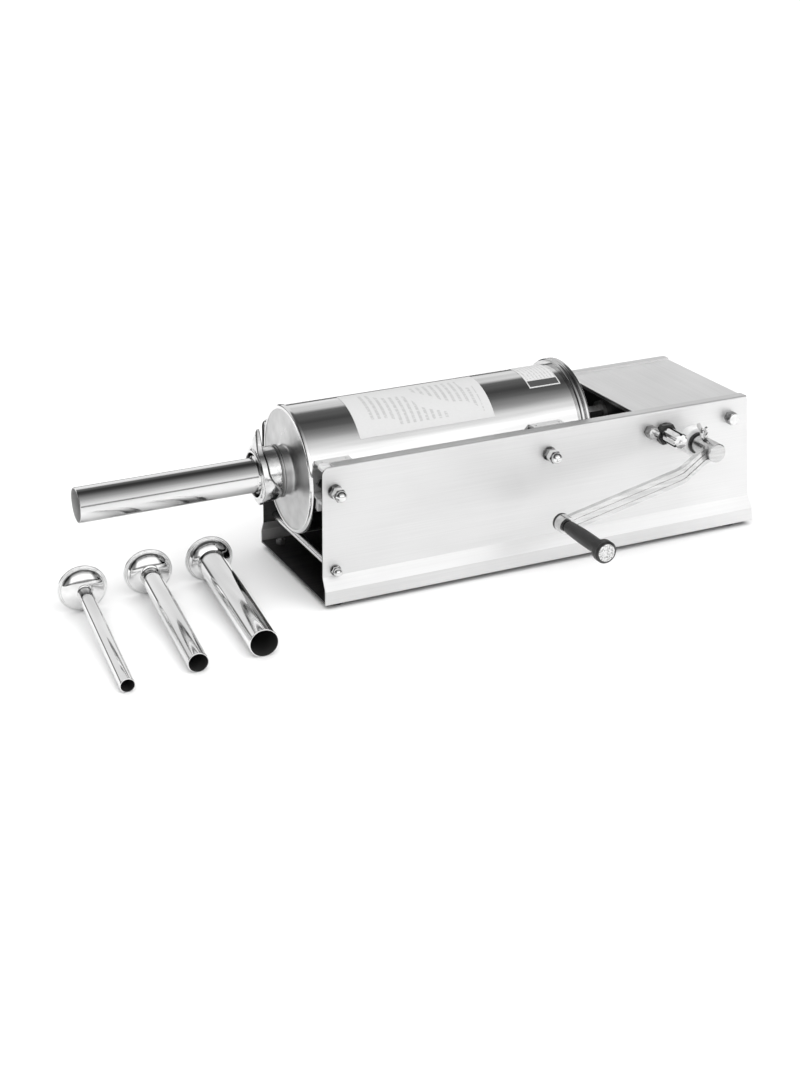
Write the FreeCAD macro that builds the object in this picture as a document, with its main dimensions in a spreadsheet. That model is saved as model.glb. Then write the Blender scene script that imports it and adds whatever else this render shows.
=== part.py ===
"""Horizontal hand-cranked sausage stuffer, as a parametric assembly.

Frame: +X from the outlet towards the gear case, +Z up from the table, and -Y towards the
crank. The origin lies on the table under the middle of everything, tubes and crank included.
Heights in the sheet are above the side plates' lower edge unless the description says table.
"""
import FreeCAD, Part
import math
import os
import re

import Sketcher

Vector = FreeCAD.Vector

# Alias, value in millimetres or degrees, what it is.
SIZES = [
    # Place of the machine in its frame
    ("FrontX", -138, "front end of the side plates' lower edge"),
    ("MidY", 70, "middle plane of the machine"),
    ("FloorGap", 6, "side plates' lower edge above the table"),
    # Frame plates
    ("Length", 536.5, "length of the side plates along their lower edge"),
    ("FrontLean", 5, "how far the plates' front edge leans back at the top"),
    ("RearLean", 9.5, "how far the plates' rear edge leans forward at the top"),
    ("HalfWidth", 90, "middle plane to a side plate's outer face"),
    ("PlateHeight", 151, "height of the side plates"),
    ("SheetThick", 2, "thickness of the folded sheet"),
    ("LipDepth", 13, "width of the lip folded inward along the top"),
    ("LipStart", 19, "front end of the plates to the start of the lip"),
    ("KinkHigh", 29, "height where the skirt starts to lean out"),
    ("KinkLow", 15, "height where the skirt is upright again"),
    ("Flare", 8, "how far the skirt stands out"),
    ("PlateCorner", 8, "rounding of the plates' top front corner"),
    ("BendRadius", 2.5, "outer radius of the lip's fold"),
    ("CoverFront", 387, "front edge of the cover from the plates' front end"),
    ("CoverRear", 527, "rear edge of the cover from the plates' front end"),
    ("CoverRound", 1.5, "rounding of the cover's front fold"),
    ("HemHeight", 5, "turned-down front edge of the cover"),
    ("RackPlateNear", 20, "middle plane to the near bearing plate"),
    ("RackPlateFar", 13, "middle plane to the far bearing plate"),
    ("BearingPlate", 4, "thickness of the bearing plates"),
    # Feet
    ("FootRadius", 12, "rubber foot"),
    ("FootInset", 17, "front edge to the front feet's centres"),
    ("RearFootInset", 25, "rear edge to the rear feet's centres"),
    ("FootSide", 79, "middle plane to the feet's centres"),
    ("FootBoltRadius", 3, "bolt through each foot"),
    ("FootTaper", 1.5, "how much narrower a foot is at the table"),
    ("FootRecess", 3, "depth and width of the recess round the bolt's head"),
    ("FootHead", 2.4, "height and overhang of the bolt's head"),
    ("FootBoltUp", 9, "bolt's end over the underside of the floor"),
    # Cylinder
    ("AxisHeight", 122, "axis of the cylinder"),
    ("BarrelRadius", 70, "outside of the barrel"),
    ("BarrelWall", 1.2, "wall of the barrel"),
    ("BarrelFront", 2.7, "front end of the barrel"),
    ("BarrelRear", 335, "rear end of the barrel and its rim"),
    ("CapThick", 4, "front cap"),
    ("CapRadius", 71, "front cap"),
    ("CapRound", 2.6, "rounding of the front cap's edge"),
    ("RimRadius", 75.5, "outside of the rolled rim"),
    ("BeadRadius", 2.8, "section of each bead of the rim"),
    ("NeckRadius", 27, "outlet neck"),
    ("NeckBore", 18, "bore of the outlet neck and the cap"),
    ("NeckLength", 23, "cap to the neck's end face"),
    ("GasketThick", 1.5, "gasket between the neck and a tube"),
    # Stuffing tubes
    ("TubeLength", 208, "rim to tip"),
    ("TubeWall", 1, "wall of a tube"),
    ("TubeRimRadius", 26.7, "rim of a tube"),
    ("TubeRimThick", 2.5, "rim of a tube"),
    ("DomeRadius", 23.6, "foot of the domed shoulder"),
    ("DomeLength", 11, "length of the domed shoulder"),
    ("MountedRadius", 19, "outside of the mounted tube"),
    ("SmallRadius", 8, "outside of the small tube"),
    ("MediumRadius", 11, "outside of the medium tube"),
    ("LargeRadius", 15.5, "outside of the large tube"),
    ("LooseTurn", 3.5, "turn of the loose tubes from square to the machine"),
    ("SmallX", -230.4, "rim of the small tube from the plates' front edge"),
    ("SmallY", 19.6, "rim of the small tube from the middle plane"),
    ("MediumX", -154.8, "rim of the medium tube"),
    ("MediumY", 30.4, "rim of the medium tube"),
    ("LargeX", -84, "rim of the large tube"),
    ("LargeY", 34.4, "rim of the large tube"),
    # Ring nut
    ("NutRadius", 30, "body of the ring nut"),
    ("NutRear", -15.3, "rear face of the ring nut"),
    ("NutFront", -39.3, "front face of the ring nut"),
    ("HighLug", 50, "axis to the tip of the upper lug"),
    ("LowLug", 37, "axis to the tip of the lower lug"),
    ("ThreadGap", 0.3, "clearance between parts that turn on each other"),
    # Brackets and their fasteners
    ("BracketWidth", 38, "width of a cylinder bracket along the machine"),
    ("BracketShift", 7.5, "bolt to the middle of its bracket"),
    ("BracketHoleStep", 14, "middle of a bracket to each hole in its top"),
    ("BracketThick", 3, "strip of a bracket"),
    ("BracketLow", 107, "underside of a bracket's lower arm"),
    ("BracketHigh", 151.5, "upper end of a bracket"),
    ("CradleLow", 96, "lower end of the lip that carries the barrel"),
    ("FrontBoltX", 18, "front bracket bolts from the plates' front edge"),
    ("RearBoltX", 271, "rear bracket bolts from the plates' front edge"),
    ("BracketBoltHeight", 124, "bracket bolts"),
    ("BoltRadius", 4, "shank of the M8 bolts"),
    ("HoleGap", 0.2, "radial gap round a bolt in its hole"),
    ("HexRadius", 7.5, "half the width across corners of an M8 hexagon"),
    ("HeadHeight", 5, "heads and plain nuts"),
    ("AcornBore", 8, "depth of the thread in an acorn nut"),
    ("WasherRadius", 8, "M8 washer"),
    ("WasherThick", 1.6, "M8 washer"),
    ("AcornHex", 6.5, "height of the hexagon of an acorn nut"),
    ("LockNut", 7.5, "plain nut under each acorn nut on the crank's side"),
    ("AcornNeck", 2, "round neck of an acorn nut"),
    ("SmallAcornHex", 4, "height of the hexagon of an M6 acorn nut"),
    ("AcornDome", 6.3, "radius of the dome of an acorn nut"),
    ("RodX", 15.5, "tie rod from the plates' front edge"),
    ("RodHeight", 35.3, "tie rod"),
    ("RodRadius", 3, "tie rod"),
    ("SmallHexRadius", 5.6, "half the width across corners of an M6 hexagon"),
    # Gears, module 2
    ("GearModule", 2, "module"),
    ("PressureAngle", 25, "pressure angle in degrees"),
    ("PinionTeeth", 10, "teeth of the rack pinion"),
    ("LargeTeeth", 26, "teeth of the large gear"),
    ("SmallTeeth", 12, "teeth of the small gear"),
    ("LargeGearThick", 10, "face width of the large gear"),
    ("SmallGearThick", 13, "face width of the small gear"),
    ("LargeGearBoss", 8, "boss of the large gear"),
    ("GearInset", 20, "side plate to the large gear"),
    ("CrankX", 454, "crank shaft from the plates' front edge"),
    ("CrankHeight", 110.5, "crank shaft"),
    ("SlowX", 418.4, "slow shaft from the plates' front edge"),
    ("Backlash", 0.35, "play between tooth flanks"),
    ("RackHalfWidth", 9, "half the width of the rack bar"),
    ("RackTop", 132, "top of the rack bar"),
    ("RackFront", 31, "front end of the rack bar at rest"),
    ("RackRear", 484, "rear end of the rack bar at rest"),
    ("RackTeethFront", 104, "first tooth of the rack at rest"),
    ("SlideGap", 0.3, "clearance round the rack"),
    # Shafts
    ("CrankShaftRadius", 8, "crank shaft between its plates"),
    ("PinionShaftRadius", 5.5, "crank shaft through the pinion"),
    ("SlowShaftRadius", 7, "slow shaft inside the case"),
    ("SplineRadius", 9, "slow shaft's end outside the case"),
    ("SplineLength", 34, "slow shaft's end outside the case"),
    ("RunGap", 0.05, "radial clearance of a shaft in its bush"),
    ("BushWall", 3, "wall of the bushes"),
    ("FlangeThick", 2, "flanges of the inner bushes"),
    ("RingThick", 1.2, "retaining rings"),
    ("WindowGap", 2, "rack to the edge of its window in a wall"),
    ("RackFlange", 14.2, "radius of the flanges of the rack's bushes"),
    ("RackFlangeThick", 4, "flanges of the rack's bushes"),
    ("GuideLength", 28, "block over the rack"),
    ("GuideHeight", 10, "block over the rack"),
    ("BossRadius", 16.5, "outer bush of the crank shaft"),
    ("BossLength", 12, "outer bush of the crank shaft, outside the plate"),
    # Piston
    ("PistonFront", 4.3, "front face of the piston at rest"),
    ("PistonThick", 18.3, "piston disc"),
    ("PistonRadius", 67.5, "piston disc"),
    ("SealRadius", 68.5, "piston seal"),
    ("SealInner", 63, "bottom of the seal's groove"),
    ("SealFront", 6, "piston's front face to the seal's groove"),
    ("SealBack", 13, "piston's front face to the back of the seal's groove"),
    ("PistonLand", 6, "width of the piston's edge at its back"),
    ("PistonDish", 8, "depth of the piston's hollow back"),
    ("PistonBoss", 25, "boss at the piston's back"),
    ("BoltIntoRack", 17, "piston's bolt into the rack"),
    ("RecessDepth", 6, "recess for the head of the piston's bolt"),
    # Gear case bolts
    ("CaseBoltFrontX", 398.6, "front case bolts from the plates' front edge"),
    ("CaseBoltRearX", 504.4, "rear case bolts from the plates' front edge"),
    ("CaseBoltHeight", 129, "case bolts"),
    ("SpacerRadius", 5.4, "spacer tube round a case bolt"),
    ("CaseHead", 10, "heads of the case bolts"),
    # Crank
    ("HubRadius", 10.7, "crank hub"),
    ("HubStart", 16.5, "side plate's face to the hub's inner end"),
    ("HubEnd", 54, "side plate's face to the hub's outer end"),
    ("ArmRoot", 46, "side plate's face to the arm's middle at the hub"),
    ("ArmOffset", 22, "how far the arm steps out"),
    ("ArmLength", 204, "hub axis to grip axis"),
    ("ArmBendStart", 13, "hub axis to the start of the step"),
    ("ArmBendEnd", 56, "hub axis to the end of the step"),
    ("ArmWidth", 17.5, "arm"),
    ("ArmThick", 6, "arm"),
    ("EyeRadius", 10, "eye of the arm"),
    ("ArmBendRadius", 25, "bends of the arm"),
    ("CrankDrop", 12.2, "rest angle of the arm below level, in degrees"),
    ("SpindleRadius", 4, "spindle of the grip"),
    ("GripLength", 80, "grip"),
    ("GripRadius", 7.3, "grip at its middle"),
    ("GripFlange", 12.2, "flange at the grip's end"),
    ("GripDisc", 9.5, "disc in the grip's end"),
    ("EyeOver", 3, "how far the eye stands out beyond the arm's faces"),
    ("BackCap", 5, "cap behind the eye"),
    ("SpindleHead", 2.5, "overhang of the spindle's head"),
    ("HeadBack", 9, "grip's end to the back of the spindle's head"),
    ("HeadFront", 6, "grip's end to the front of the spindle's head"),
    ("DiscDeep", 2.5, "depth of the disc in the grip's end"),
    ("FlangeLong", 9, "flange at the grip's end"),
    ("FlangeRound", 1.5, "rounding of the flange"),
    ("SealRing", 3, "dark ring between the boss and the hub"),
    ("ScrewOut", 30, "side plate's face to the thumb screw"),
    ("ScrewRadius", 2.3, "shank of the thumb screw"),
    ("ScrewHead", 4.2, "head of the thumb screw"),
    ("WingThick", 2.6, "wings of the thumb screw"),
    ("HeadLow", 3, "hub to the underside of the screw's head"),
    ("HeadHigh", 11, "hub to the top of the screw's head"),
    ("WingFoot", 10, "hub to the wings' widest place"),
    ("WingTop", 17, "hub to the wings' tips"),
    ("WingWide", 8.5, "half the width across the wings"),
    ("ScrewHole", 30, "depth of the cut that makes the hub's screw hole"),
]

doc = FreeCAD.newDocument("SausageStuffer")
sheet = doc.addObject("Spreadsheet::Sheet", "Sizes")


def fill_sheet():
    for row, (alias, size, meaning) in enumerate(SIZES, start=1):
        sheet.set(f"A{row}", meaning)
        sheet.set(f"B{row}", str(size))
        sheet.setAlias(f"B{row}", alias)
    doc.recompute()


# ---------------------------------------------------------------- binding to the sheet
# Expressions name the aliases bare: "HalfWidth - SheetThick".

def bound(expression):
    return re.sub(r"\b([A-Z]\w+)\b", r"Sizes.\1", str(expression))


def size(expression):
    return float(sheet.evalExpression(str(expression)))


def bind(item, **expressions):
    for name, expression in expressions.items():
        item.setExpression(name, bound(expression))


def place(item, x=None, y=None, z=None):
    for letter, expression in (("x", x), ("y", y), ("z", z)):
        if expression is not None:
            item.setExpression(f"Placement.Base.{letter}", bound(expression))


def along(x):
    """A distance from the side plates' front edge, in the part's frame."""
    return f"FrontX + ({x})"


def across(y):
    """A distance from the middle plane, in the part's frame."""
    return f"MidY + ({y})"


def up(z):
    """A height above the side plates' lower edge, in the part's frame."""
    return f"FloorGap + ({z})"


subparts = []


def finish(item, node):
    item.Label = node
    subparts.append(item)
    return item


# ---------------------------------------------------------------- Part primitives

TURNS = {
    "+X": FreeCAD.Rotation(Vector(0, 1, 0), 90),
    "-X": FreeCAD.Rotation(Vector(0, 1, 0), -90),
    "+Y": FreeCAD.Rotation(Vector(1, 0, 0), -90),
    "-Y": FreeCAD.Rotation(Vector(1, 0, 0), 90),
    "+Z": FreeCAD.Rotation(),
    "-Z": FreeCAD.Rotation(Vector(1, 0, 0), 180),
}


def box(name, x, y, z, length, width, height):
    item = doc.addObject("Part::Box", name)
    bind(item, Length=length, Width=width, Height=height)
    place(item, x, y, z)
    return item


def cylinder(name, x, y, z, axis, radius, height):
    item = doc.addObject("Part::Cylinder", name)
    item.Placement = FreeCAD.Placement(Vector(), TURNS[axis])
    bind(item, Radius=radius, Height=height)
    place(item, x, y, z)
    return item


def hexagon(name, x, y, z, axis, radius, height):
    item = doc.addObject("Part::Prism", name)
    item.Polygon = 6
    item.Placement = FreeCAD.Placement(Vector(), TURNS[axis])
    bind(item, Circumradius=radius, Height=height)
    place(item, x, y, z)
    return item


def ball(name, x, y, z, radius):
    item = doc.addObject("Part::Sphere", name)
    bind(item, Radius=radius)
    place(item, x, y, z)
    return item


def ring_bead(name, x, y, z, axis, radius, section):
    item = doc.addObject("Part::Torus", name)
    item.Placement = FreeCAD.Placement(Vector(), TURNS[axis])
    bind(item, Radius1=radius, Radius2=section)
    place(item, x, y, z)
    return item


def fuse(name, *pieces):
    item = doc.addObject("Part::MultiFuse", name)
    item.Shapes = list(pieces)
    return item


def cut(name, base, *tools):
    item = doc.addObject("Part::Cut", name)
    item.Base = base
    item.Tool = tools[0] if len(tools) == 1 else fuse(f"{name}_tools", *tools)
    return item


def group(name, *pieces):
    """Several separate solids that make one node."""
    item = doc.addObject("Part::Compound", name)
    item.Links = list(pieces)
    return item


def round_edges(name, base, radius, wanted):
    """Rounds the edges of base that wanted(edge) accepts."""
    doc.recompute()
    item = doc.addObject("Part::Fillet", name)
    item.Base = base
    numbers = [i for i, edge in enumerate(base.Shape.Edges, start=1) if wanted(edge)]
    item.Edges = [(number, size(radius), size(radius)) for number in numbers]
    return item


# ---------------------------------------------------------------- PartDesign bodies

def new_body(name):
    return doc.addObject("PartDesign::Body", name)


def origin_feature(body, role):
    return next(item for item in body.Origin.OriginFeatures if item.Role == role)


def new_sketch(body, name, role, offset=None):
    sketch = body.newObject("Sketcher::SketchObject", name)
    sketch.AttachmentSupport = (origin_feature(body, role), [""])
    sketch.MapMode = "FlatFace"
    if offset is not None:
        sketch.setExpression("AttachmentOffset.Base.z", bound(offset))
    return sketch


def fix_point(sketch, edge, end, x, y):
    """Ties one end of a sketch edge to two sheet expressions."""
    for kind, expression in (("DistanceX", x), ("DistanceY", y)):
        constraint = Sketcher.Constraint(kind, -1, 1, edge, end, size(expression))
        number = sketch.addConstraint(constraint)
        sketch.setExpression(f"Constraints[{number}]", bound(expression))


def draw_outline(sketch, points):
    """A closed outline. A point is (x, y), and (x, y, mid_x, mid_y) is reached by an arc."""
    corners = [Vector(size(point[0]), size(point[1]), 0) for point in points]
    first = len(sketch.Geometry)
    ends, radii = [], []
    for number, point in enumerate(points):
        start, end = corners[number - 1], corners[number]
        clockwise = False
        if len(point) == 4:
            middle = Vector(size(point[2]), size(point[3]), 0)
            clockwise = (end - start).cross(middle - start).z > 0
            edge = Part.Arc(end, middle, start) if clockwise else Part.Arc(start, middle, end)
        else:
            edge = Part.LineSegment(start, end)
        sketch.addGeometry(edge, False)
        radii.append(getattr(sketch.Geometry[-1], "Radius", None))
        ends.append((2, 1) if clockwise else (1, 2))
    for number, point in enumerate(points):
        following = (number + 1) % len(points)
        joint = (first + number, ends[number][1], first + following, ends[following][0])
        sketch.addConstraint(Sketcher.Constraint("Coincident", *joint))
        fix_point(sketch, first + number, ends[number][1], point[0], point[1])
        if radii[number]:
            sketch.addConstraint(Sketcher.Constraint("Radius", first + number, radii[number]))


def draw_circle(sketch, x, y, radius):
    centre = Vector(size(x), size(y), 0)
    edge = sketch.addGeometry(Part.Circle(centre, Vector(0, 0, 1), size(radius)), False)
    fix_point(sketch, edge, 3, x, y)
    number = sketch.addConstraint(Sketcher.Constraint("Radius", edge, size(radius)))
    sketch.setExpression(f"Constraints[{number}]", bound(radius))


def pad(body, name, sketch, length, midplane=False):
    feature = body.newObject("PartDesign::Pad", name)
    feature.Profile = sketch
    feature.Midplane = midplane
    bind(feature, Length=length)
    return feature


def pocket_through(body, name, sketch):
    """Cuts the sketch right through the body, both ways from its plane."""
    feature = body.newObject("PartDesign::Pocket", name)
    feature.Profile = sketch
    feature.Type = "ThroughAll"
    feature.Midplane = True
    doc.recompute()
    before = feature.BaseFeature.Shape.Volume
    if feature.Shape.isNull() or feature.Shape.Volume > before - 1e-3:
        raise RuntimeError(f"{name} cuts nothing")
    return feature


def revolve(body, name, sketch, axis="H_Axis"):
    feature = body.newObject("PartDesign::Revolution", name)
    feature.Profile = sketch
    feature.ReferenceAxis = (sketch, [axis])
    feature.Angle = 360
    return feature


def fillet(body, name, base, radius, wanted):
    doc.recompute()
    names = [f"Edge{i}" for i, edge in enumerate(base.Shape.Edges, start=1) if wanted(edge)]
    feature = body.newObject("PartDesign::Fillet", name)
    feature.Base = (base, names)
    bind(feature, Radius=radius)
    return feature


def turned_body(node, points, x, y="MidY", z="FloorGap + AxisHeight"):
    """A body of revolution about a line along X: outline points are (along, radius)."""
    body = new_body(node)
    sketch = new_sketch(body, f"{node}_section", "XZ_Plane")
    draw_outline(sketch, points)
    revolve(body, f"{node}_turning", sketch)
    place(body, x, y, z)
    return body


def turned_solid(node, points, axis="+X"):
    """A solid of revolution with arcs in its outline: points are (along, radius)."""
    sketch = doc.addObject("Sketcher::SketchObject", f"{node}_section")
    draw_outline(sketch, points)
    item = doc.addObject("Part::Revolution", f"{node}_turning")
    item.Source = sketch
    item.Axis = Vector(1, 0, 0)
    item.Angle = 360
    item.Solid = True
    if axis == "+Y":
        item.Placement = FreeCAD.Placement(Vector(), FreeCAD.Rotation(Vector(0, 0, 1), 90))
    return item


# ---------------------------------------------------------------- edge filters

def centre_near(edge, x=None, y=None, z=None, slack=0.05):
    middle = edge.BoundBox.Center
    pairs = ((middle.x, x), (middle.y, y), (middle.z, z))
    return all(wanted is None or abs(found - wanted) < slack for found, wanted in pairs)


def runs_along(edge, axis):
    """True for a straight edge parallel to the axis."""
    if edge.Curve.TypeId != "Part::GeomLine":
        return False
    direction = edge.Curve.Direction
    return abs(abs(direction.dot(axis)) - 1) < 1e-6


# ---------------------------------------------------------------- frame

def side_plate(node, side, holes):
    """A side plate folded from one sheet: lip in along the top, skirt out along the bottom."""
    def out(y):
        return across(f"{side}*({y})")

    body = new_body(node)
    section = new_sketch(body, f"{node}_section", "YZ_Plane", along(0))
    draw_outline(section, [
        (out("HalfWidth - LipDepth"), up("PlateHeight")),
        (out("HalfWidth"), up("PlateHeight")),
        (out("HalfWidth"), up("KinkHigh")),
        (out("HalfWidth + Flare"), up("KinkLow")),
        (out("HalfWidth + Flare"), up(0)),
        (out("HalfWidth + Flare - SheetThick"), up(0)),
        (out("HalfWidth + Flare - SheetThick"), up("KinkLow + SheetThick/2")),
        (out("HalfWidth - SheetThick"), up("KinkHigh + SheetThick/2")),
        (out("HalfWidth - SheetThick"), up("PlateHeight - SheetThick")),
        (out("HalfWidth - LipDepth"), up("PlateHeight - SheetThick")),
    ])
    sheet_pad = pad(body, f"{node}_sheet", section, "Length")
    x_axis = Vector(1, 0, 0)
    fold_y, fold_z = size(out("HalfWidth")), size(up("PlateHeight"))
    fold = fillet(body, f"{node}_fold", sheet_pad, "BendRadius",
                  lambda edge: runs_along(edge, x_axis) and centre_near(edge, y=fold_y, z=fold_z))
    skirt_y = size(out("HalfWidth + Flare"))
    skirt_z = size(up("KinkLow"))
    skirt = fillet(body, f"{node}_skirt_bend", fold, "BendRadius",
                   lambda edge: runs_along(edge, x_axis)
                   and centre_near(edge, y=skirt_y, z=skirt_z))
    notch = new_sketch(body, f"{node}_notch_outline", "XY_Plane")
    inner = "HalfWidth - LipDepth - 1"
    draw_outline(notch, [
        (along(-1), out(inner)),
        (along("LipStart"), out(inner)),
        (along("LipStart"), out("HalfWidth - SheetThick")),
        (along(-1), out("HalfWidth - SheetThick")),
    ])
    pocket_through(body, f"{node}_notch", notch)
    for end, level, lean in (("front", "0", "FrontLean"), ("rear", "Length", "-RearLean")):
        lean_end(body, f"{node}_{end}_end", level, lean)
    bores = new_sketch(body, f"{node}_bore_outline", "XZ_Plane")
    for x, z, radius in holes:
        draw_circle(bores, along(x), up(z), radius)
    pocket_through(body, f"{node}_bores", bores)
    corner = new_sketch(body, f"{node}_corner_outline", "XZ_Plane")
    top, turn = "PlateHeight", "PlateCorner"
    draw_outline(corner, [
        (along(-1), up(f"{top} + 1")), (along(f"FrontLean + {turn}"), up(f"{top} + 1")),
        (along(f"FrontLean + {turn}"), up(top)),
        (along(f"FrontLean*(1 - {turn}/{top})"), up(f"{top} - {turn}"),
         along(f"FrontLean + {turn}*0.293"), up(f"{top} - {turn}*0.293")),
        (along(-1), up(f"{top} - {turn}")),
    ])
    pocket_through(body, f"{node}_corner", corner)
    return finish(body, node)


def lean_end(body, name, x, lean):
    """Trims one end of a side plate to a line that leans in towards the top."""
    outline = new_sketch(body, f"{name}_outline", "XZ_Plane")
    outside = f"{x} - 2*({lean})"
    step = f"({lean})/PlateHeight"
    draw_outline(outline, [
        (along(f"{x} - {step}"), up(-1)), (along(f"{x} + {lean} + {step}"), up("PlateHeight + 1")),
        (along(outside), up("PlateHeight + 1")), (along(outside), up(-1)),
    ])
    pocket_through(body, name, outline)


def plate_holes():
    bolt = "BoltRadius + HoleGap"
    return [
        ("FrontBoltX", "BracketBoltHeight", bolt),
        ("RearBoltX", "BracketBoltHeight", bolt),
        ("CaseBoltFrontX", "CaseBoltHeight", bolt),
        ("CaseBoltRearX", "CaseBoltHeight", bolt),
        ("RodX", "RodHeight", "RodRadius + HoleGap"),
    ]


def frame_sheets():
    slow_height = size("CrankHeight") + slow_rise()
    near_extra = [
        ("CrankX", "CrankHeight", "BossRadius - BushWall"),
        ("SlowX", slow_height, "SplineRadius + BushWall"),
    ]
    side_plate("side_plate_near", -1, plate_holes() + near_extra)
    side_plate("side_plate_far", 1, plate_holes())
    base_plate()
    top_cover()
    cross_wall("gearbox_front_wall", "CoverFront + 2")
    cross_wall("rear_wall", "CoverRear - SheetThick - 2")
    bearing_plate("near_bearing_plate", "-RackPlateNear - BearingPlate", True)
    bearing_plate("far_bearing_plate", "RackPlateFar", False)


def slow_rise():
    """Height of the slow shaft over the crank shaft that puts the two gears in mesh."""
    centres = size("GearModule * (LargeTeeth + SmallTeeth) / 2")
    return math.sqrt(centres**2 - size("CrankX - SlowX")**2)


def foot_places():
    for end in ("FootInset", "Length - RearFootInset"):
        for side in (-1, 1):
            yield along(end), across(f"{side}*FootSide")


def base_plate():
    """The floor of the machine, let in between the two skirts."""
    half = "HalfWidth + Flare - SheetThick"
    slab = box("base_sheet", along(0), across(f"-({half})"), up(1),
               "Length", f"2*({half})", "SheetThick")
    holes = [cylinder(f"foot_hole_{i}", x, y, up(0), "+Z", "FootBoltRadius + HoleGap",
                      "2*SheetThick + 1")
             for i, (x, y) in enumerate(foot_places())]
    finish(cut("base_cut", slab, *holes), "base_plate")


def top_cover():
    """The cover of the gear case, held under the plates' lips, with a turned-down front edge."""
    inner = "HalfWidth - SheetThick"
    top = box("cover_sheet", along("CoverFront"), across(f"-({inner})"),
              up("PlateHeight - 2*SheetThick"),
              "CoverRear - CoverFront", f"2*({inner})", "SheetThick")
    hem = box("cover_hem", along("CoverFront"), across(f"-({inner})"),
              up("PlateHeight - SheetThick - HemHeight"), "SheetThick", f"2*({inner})", "HemHeight")
    x = size(along("CoverFront"))
    z = size(up("PlateHeight - SheetThick"))
    joined = fuse("cover_join", top, hem)
    rounded = round_edges("cover_round", joined, "CoverRound",
                          lambda edge: centre_near(edge, x=x, z=z))
    finish(rounded, "top_cover")


def rack_window(name, x, length, gap):
    """The space that the rack passes through, as a tool for cutting."""
    low = "CrankHeight + GearModule*(PinionTeeth/2 - 0.8)"
    return box(name, x, across(f"-RackHalfWidth - {gap}"), up(f"{low} - {gap}"),
               length, f"2*(RackHalfWidth + {gap})", f"RackTop - ({low}) + 2*{gap}")


def cross_wall(node, x):
    """A wall across the gear case, with a window for the rack's bush."""
    inner = "HalfWidth - SheetThick"
    low = "1 + SheetThick"
    wall = box(f"{node}_sheet", along(x), across(f"-({inner})"), up(low),
               "SheetThick", f"2*({inner})", f"PlateHeight - 2*SheetThick - ({low})")
    window = rack_window(f"{node}_window", along(f"{x} - 1"), "SheetThick + 2", "WindowGap")
    finish(cut(f"{node}_cut", wall, window), node)


def bearing_plate(node, y, with_slow_shaft):
    """An upright plate in the gear case that carries the inner ends of the shafts."""
    start = "CoverFront + 2 + SheetThick"
    end = "CoverRear - SheetThick - 2"
    low = "1 + SheetThick"
    plate = box(f"{node}_sheet", along(start), across(y), up(low), f"{end} - ({start})",
                "BearingPlate", f"PlateHeight - 2*SheetThick - ({low})")
    tools = []

    def drill(x, z, radius):
        tools.append(cylinder(f"{node}_hole_{len(tools)}", along(x), across(f"{y} - 1"),
                              up(z), "+Y", radius, "BearingPlate + 2"))

    if with_slow_shaft:
        drill("CrankX", "CrankHeight", "CrankShaftRadius + BushWall")
        drill("SlowX", size("CrankHeight") + slow_rise(), "SlowShaftRadius + BushWall")
    else:
        drill("CrankX", "CrankHeight", "PinionShaftRadius + BushWall")
    for x in ("CaseBoltFrontX", "CaseBoltRearX"):
        drill(x, "CaseBoltHeight", "BoltRadius + HoleGap")
    finish(cut(f"{node}_cut", plate, *tools), node)


# ---------------------------------------------------------------- feet and fasteners

def feet():
    """Four rubber feet under the floor, each with its bolt."""
    pieces, bolts = [], []
    for i, (x, y) in enumerate(foot_places()):
        foot = doc.addObject("Part::Cone", f"foot_{i}")
        bind(foot, Radius1="FootRadius - FootTaper", Radius2="FootRadius", Height="FloorGap + 1")
        place(foot, x, y, "0")
        recess = cylinder(f"foot_recess_{i}", x, y, "-1", "+Z", "FootBoltRadius + FootRecess",
                          "FootRecess + 1")
        bore = cylinder(f"foot_bore_{i}", x, y, "-1", "+Z", "FootBoltRadius", "FloorGap + 3")
        pieces.append(cut(f"foot_cut_{i}", foot, recess, bore))
        head = cylinder(f"foot_bolt_head_{i}", x, y, "FootRecess - FootHead", "+Z",
                        "FootBoltRadius + FootHead", "FootHead")
        shank = cylinder(f"foot_bolt_{i}", x, y, "FootRecess - FootHead", "+Z", "FootBoltRadius",
                         "FloorGap + FootBoltUp")
        nut = hexagon(f"foot_nut_{i}", x, y, "FloorGap + 1 + SheetThick", "+Z",
                      "SmallHexRadius", "HeadHeight")
        bolts.append(fuse(f"foot_bolt_join_{i}", head, shank, nut))
    finish(group("feet_group", *pieces), "rubber_feet")
    finish(group("foot_bolt_group", *bolts), "foot_bolts")


def acorn_nut(name, x, z, side, radius, dome, hex_height, shank):
    """An acorn nut on the outer face of a side plate, beyond its washer."""
    axis = "-Y" if side < 0 else "+Y"
    start = across(f"{side}*(HalfWidth + WasherThick)")
    middle = across(f"{side}*(HalfWidth + WasherThick + {hex_height})")
    body = hexagon(f"{name}_hex", x, start, z, axis, radius, hex_height)
    neck = cylinder(f"{name}_neck", x, middle, z, axis, dome, "AcornNeck")
    top = across(f"{side}*(HalfWidth + WasherThick + {hex_height} + AcornNeck)")
    cap = ball(f"{name}_dome", x, top, z, dome)
    solid = fuse(f"{name}_join", body, neck, cap)
    bore = cylinder(f"{name}_bore", x, start, z, axis, shank, "AcornBore")
    return cut(f"{name}_cut", solid, bore)


def washer(name, x, z, side, radius, hole):
    axis = "-Y" if side < 0 else "+Y"
    y = across(f"{side}*HalfWidth")
    disc = cylinder(f"{name}_disc", x, y, z, axis, radius, "WasherThick")
    bore = cylinder(f"{name}_bore", x, y, z, axis, hole, "WasherThick")
    return cut(f"{name}_cut", disc, bore)


def bracket_places():
    for end, x in (("front", "FrontBoltX"), ("rear", "RearBoltX")):
        for hand, side in (("near", -1), ("far", 1)):
            yield end, hand, x, side


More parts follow.
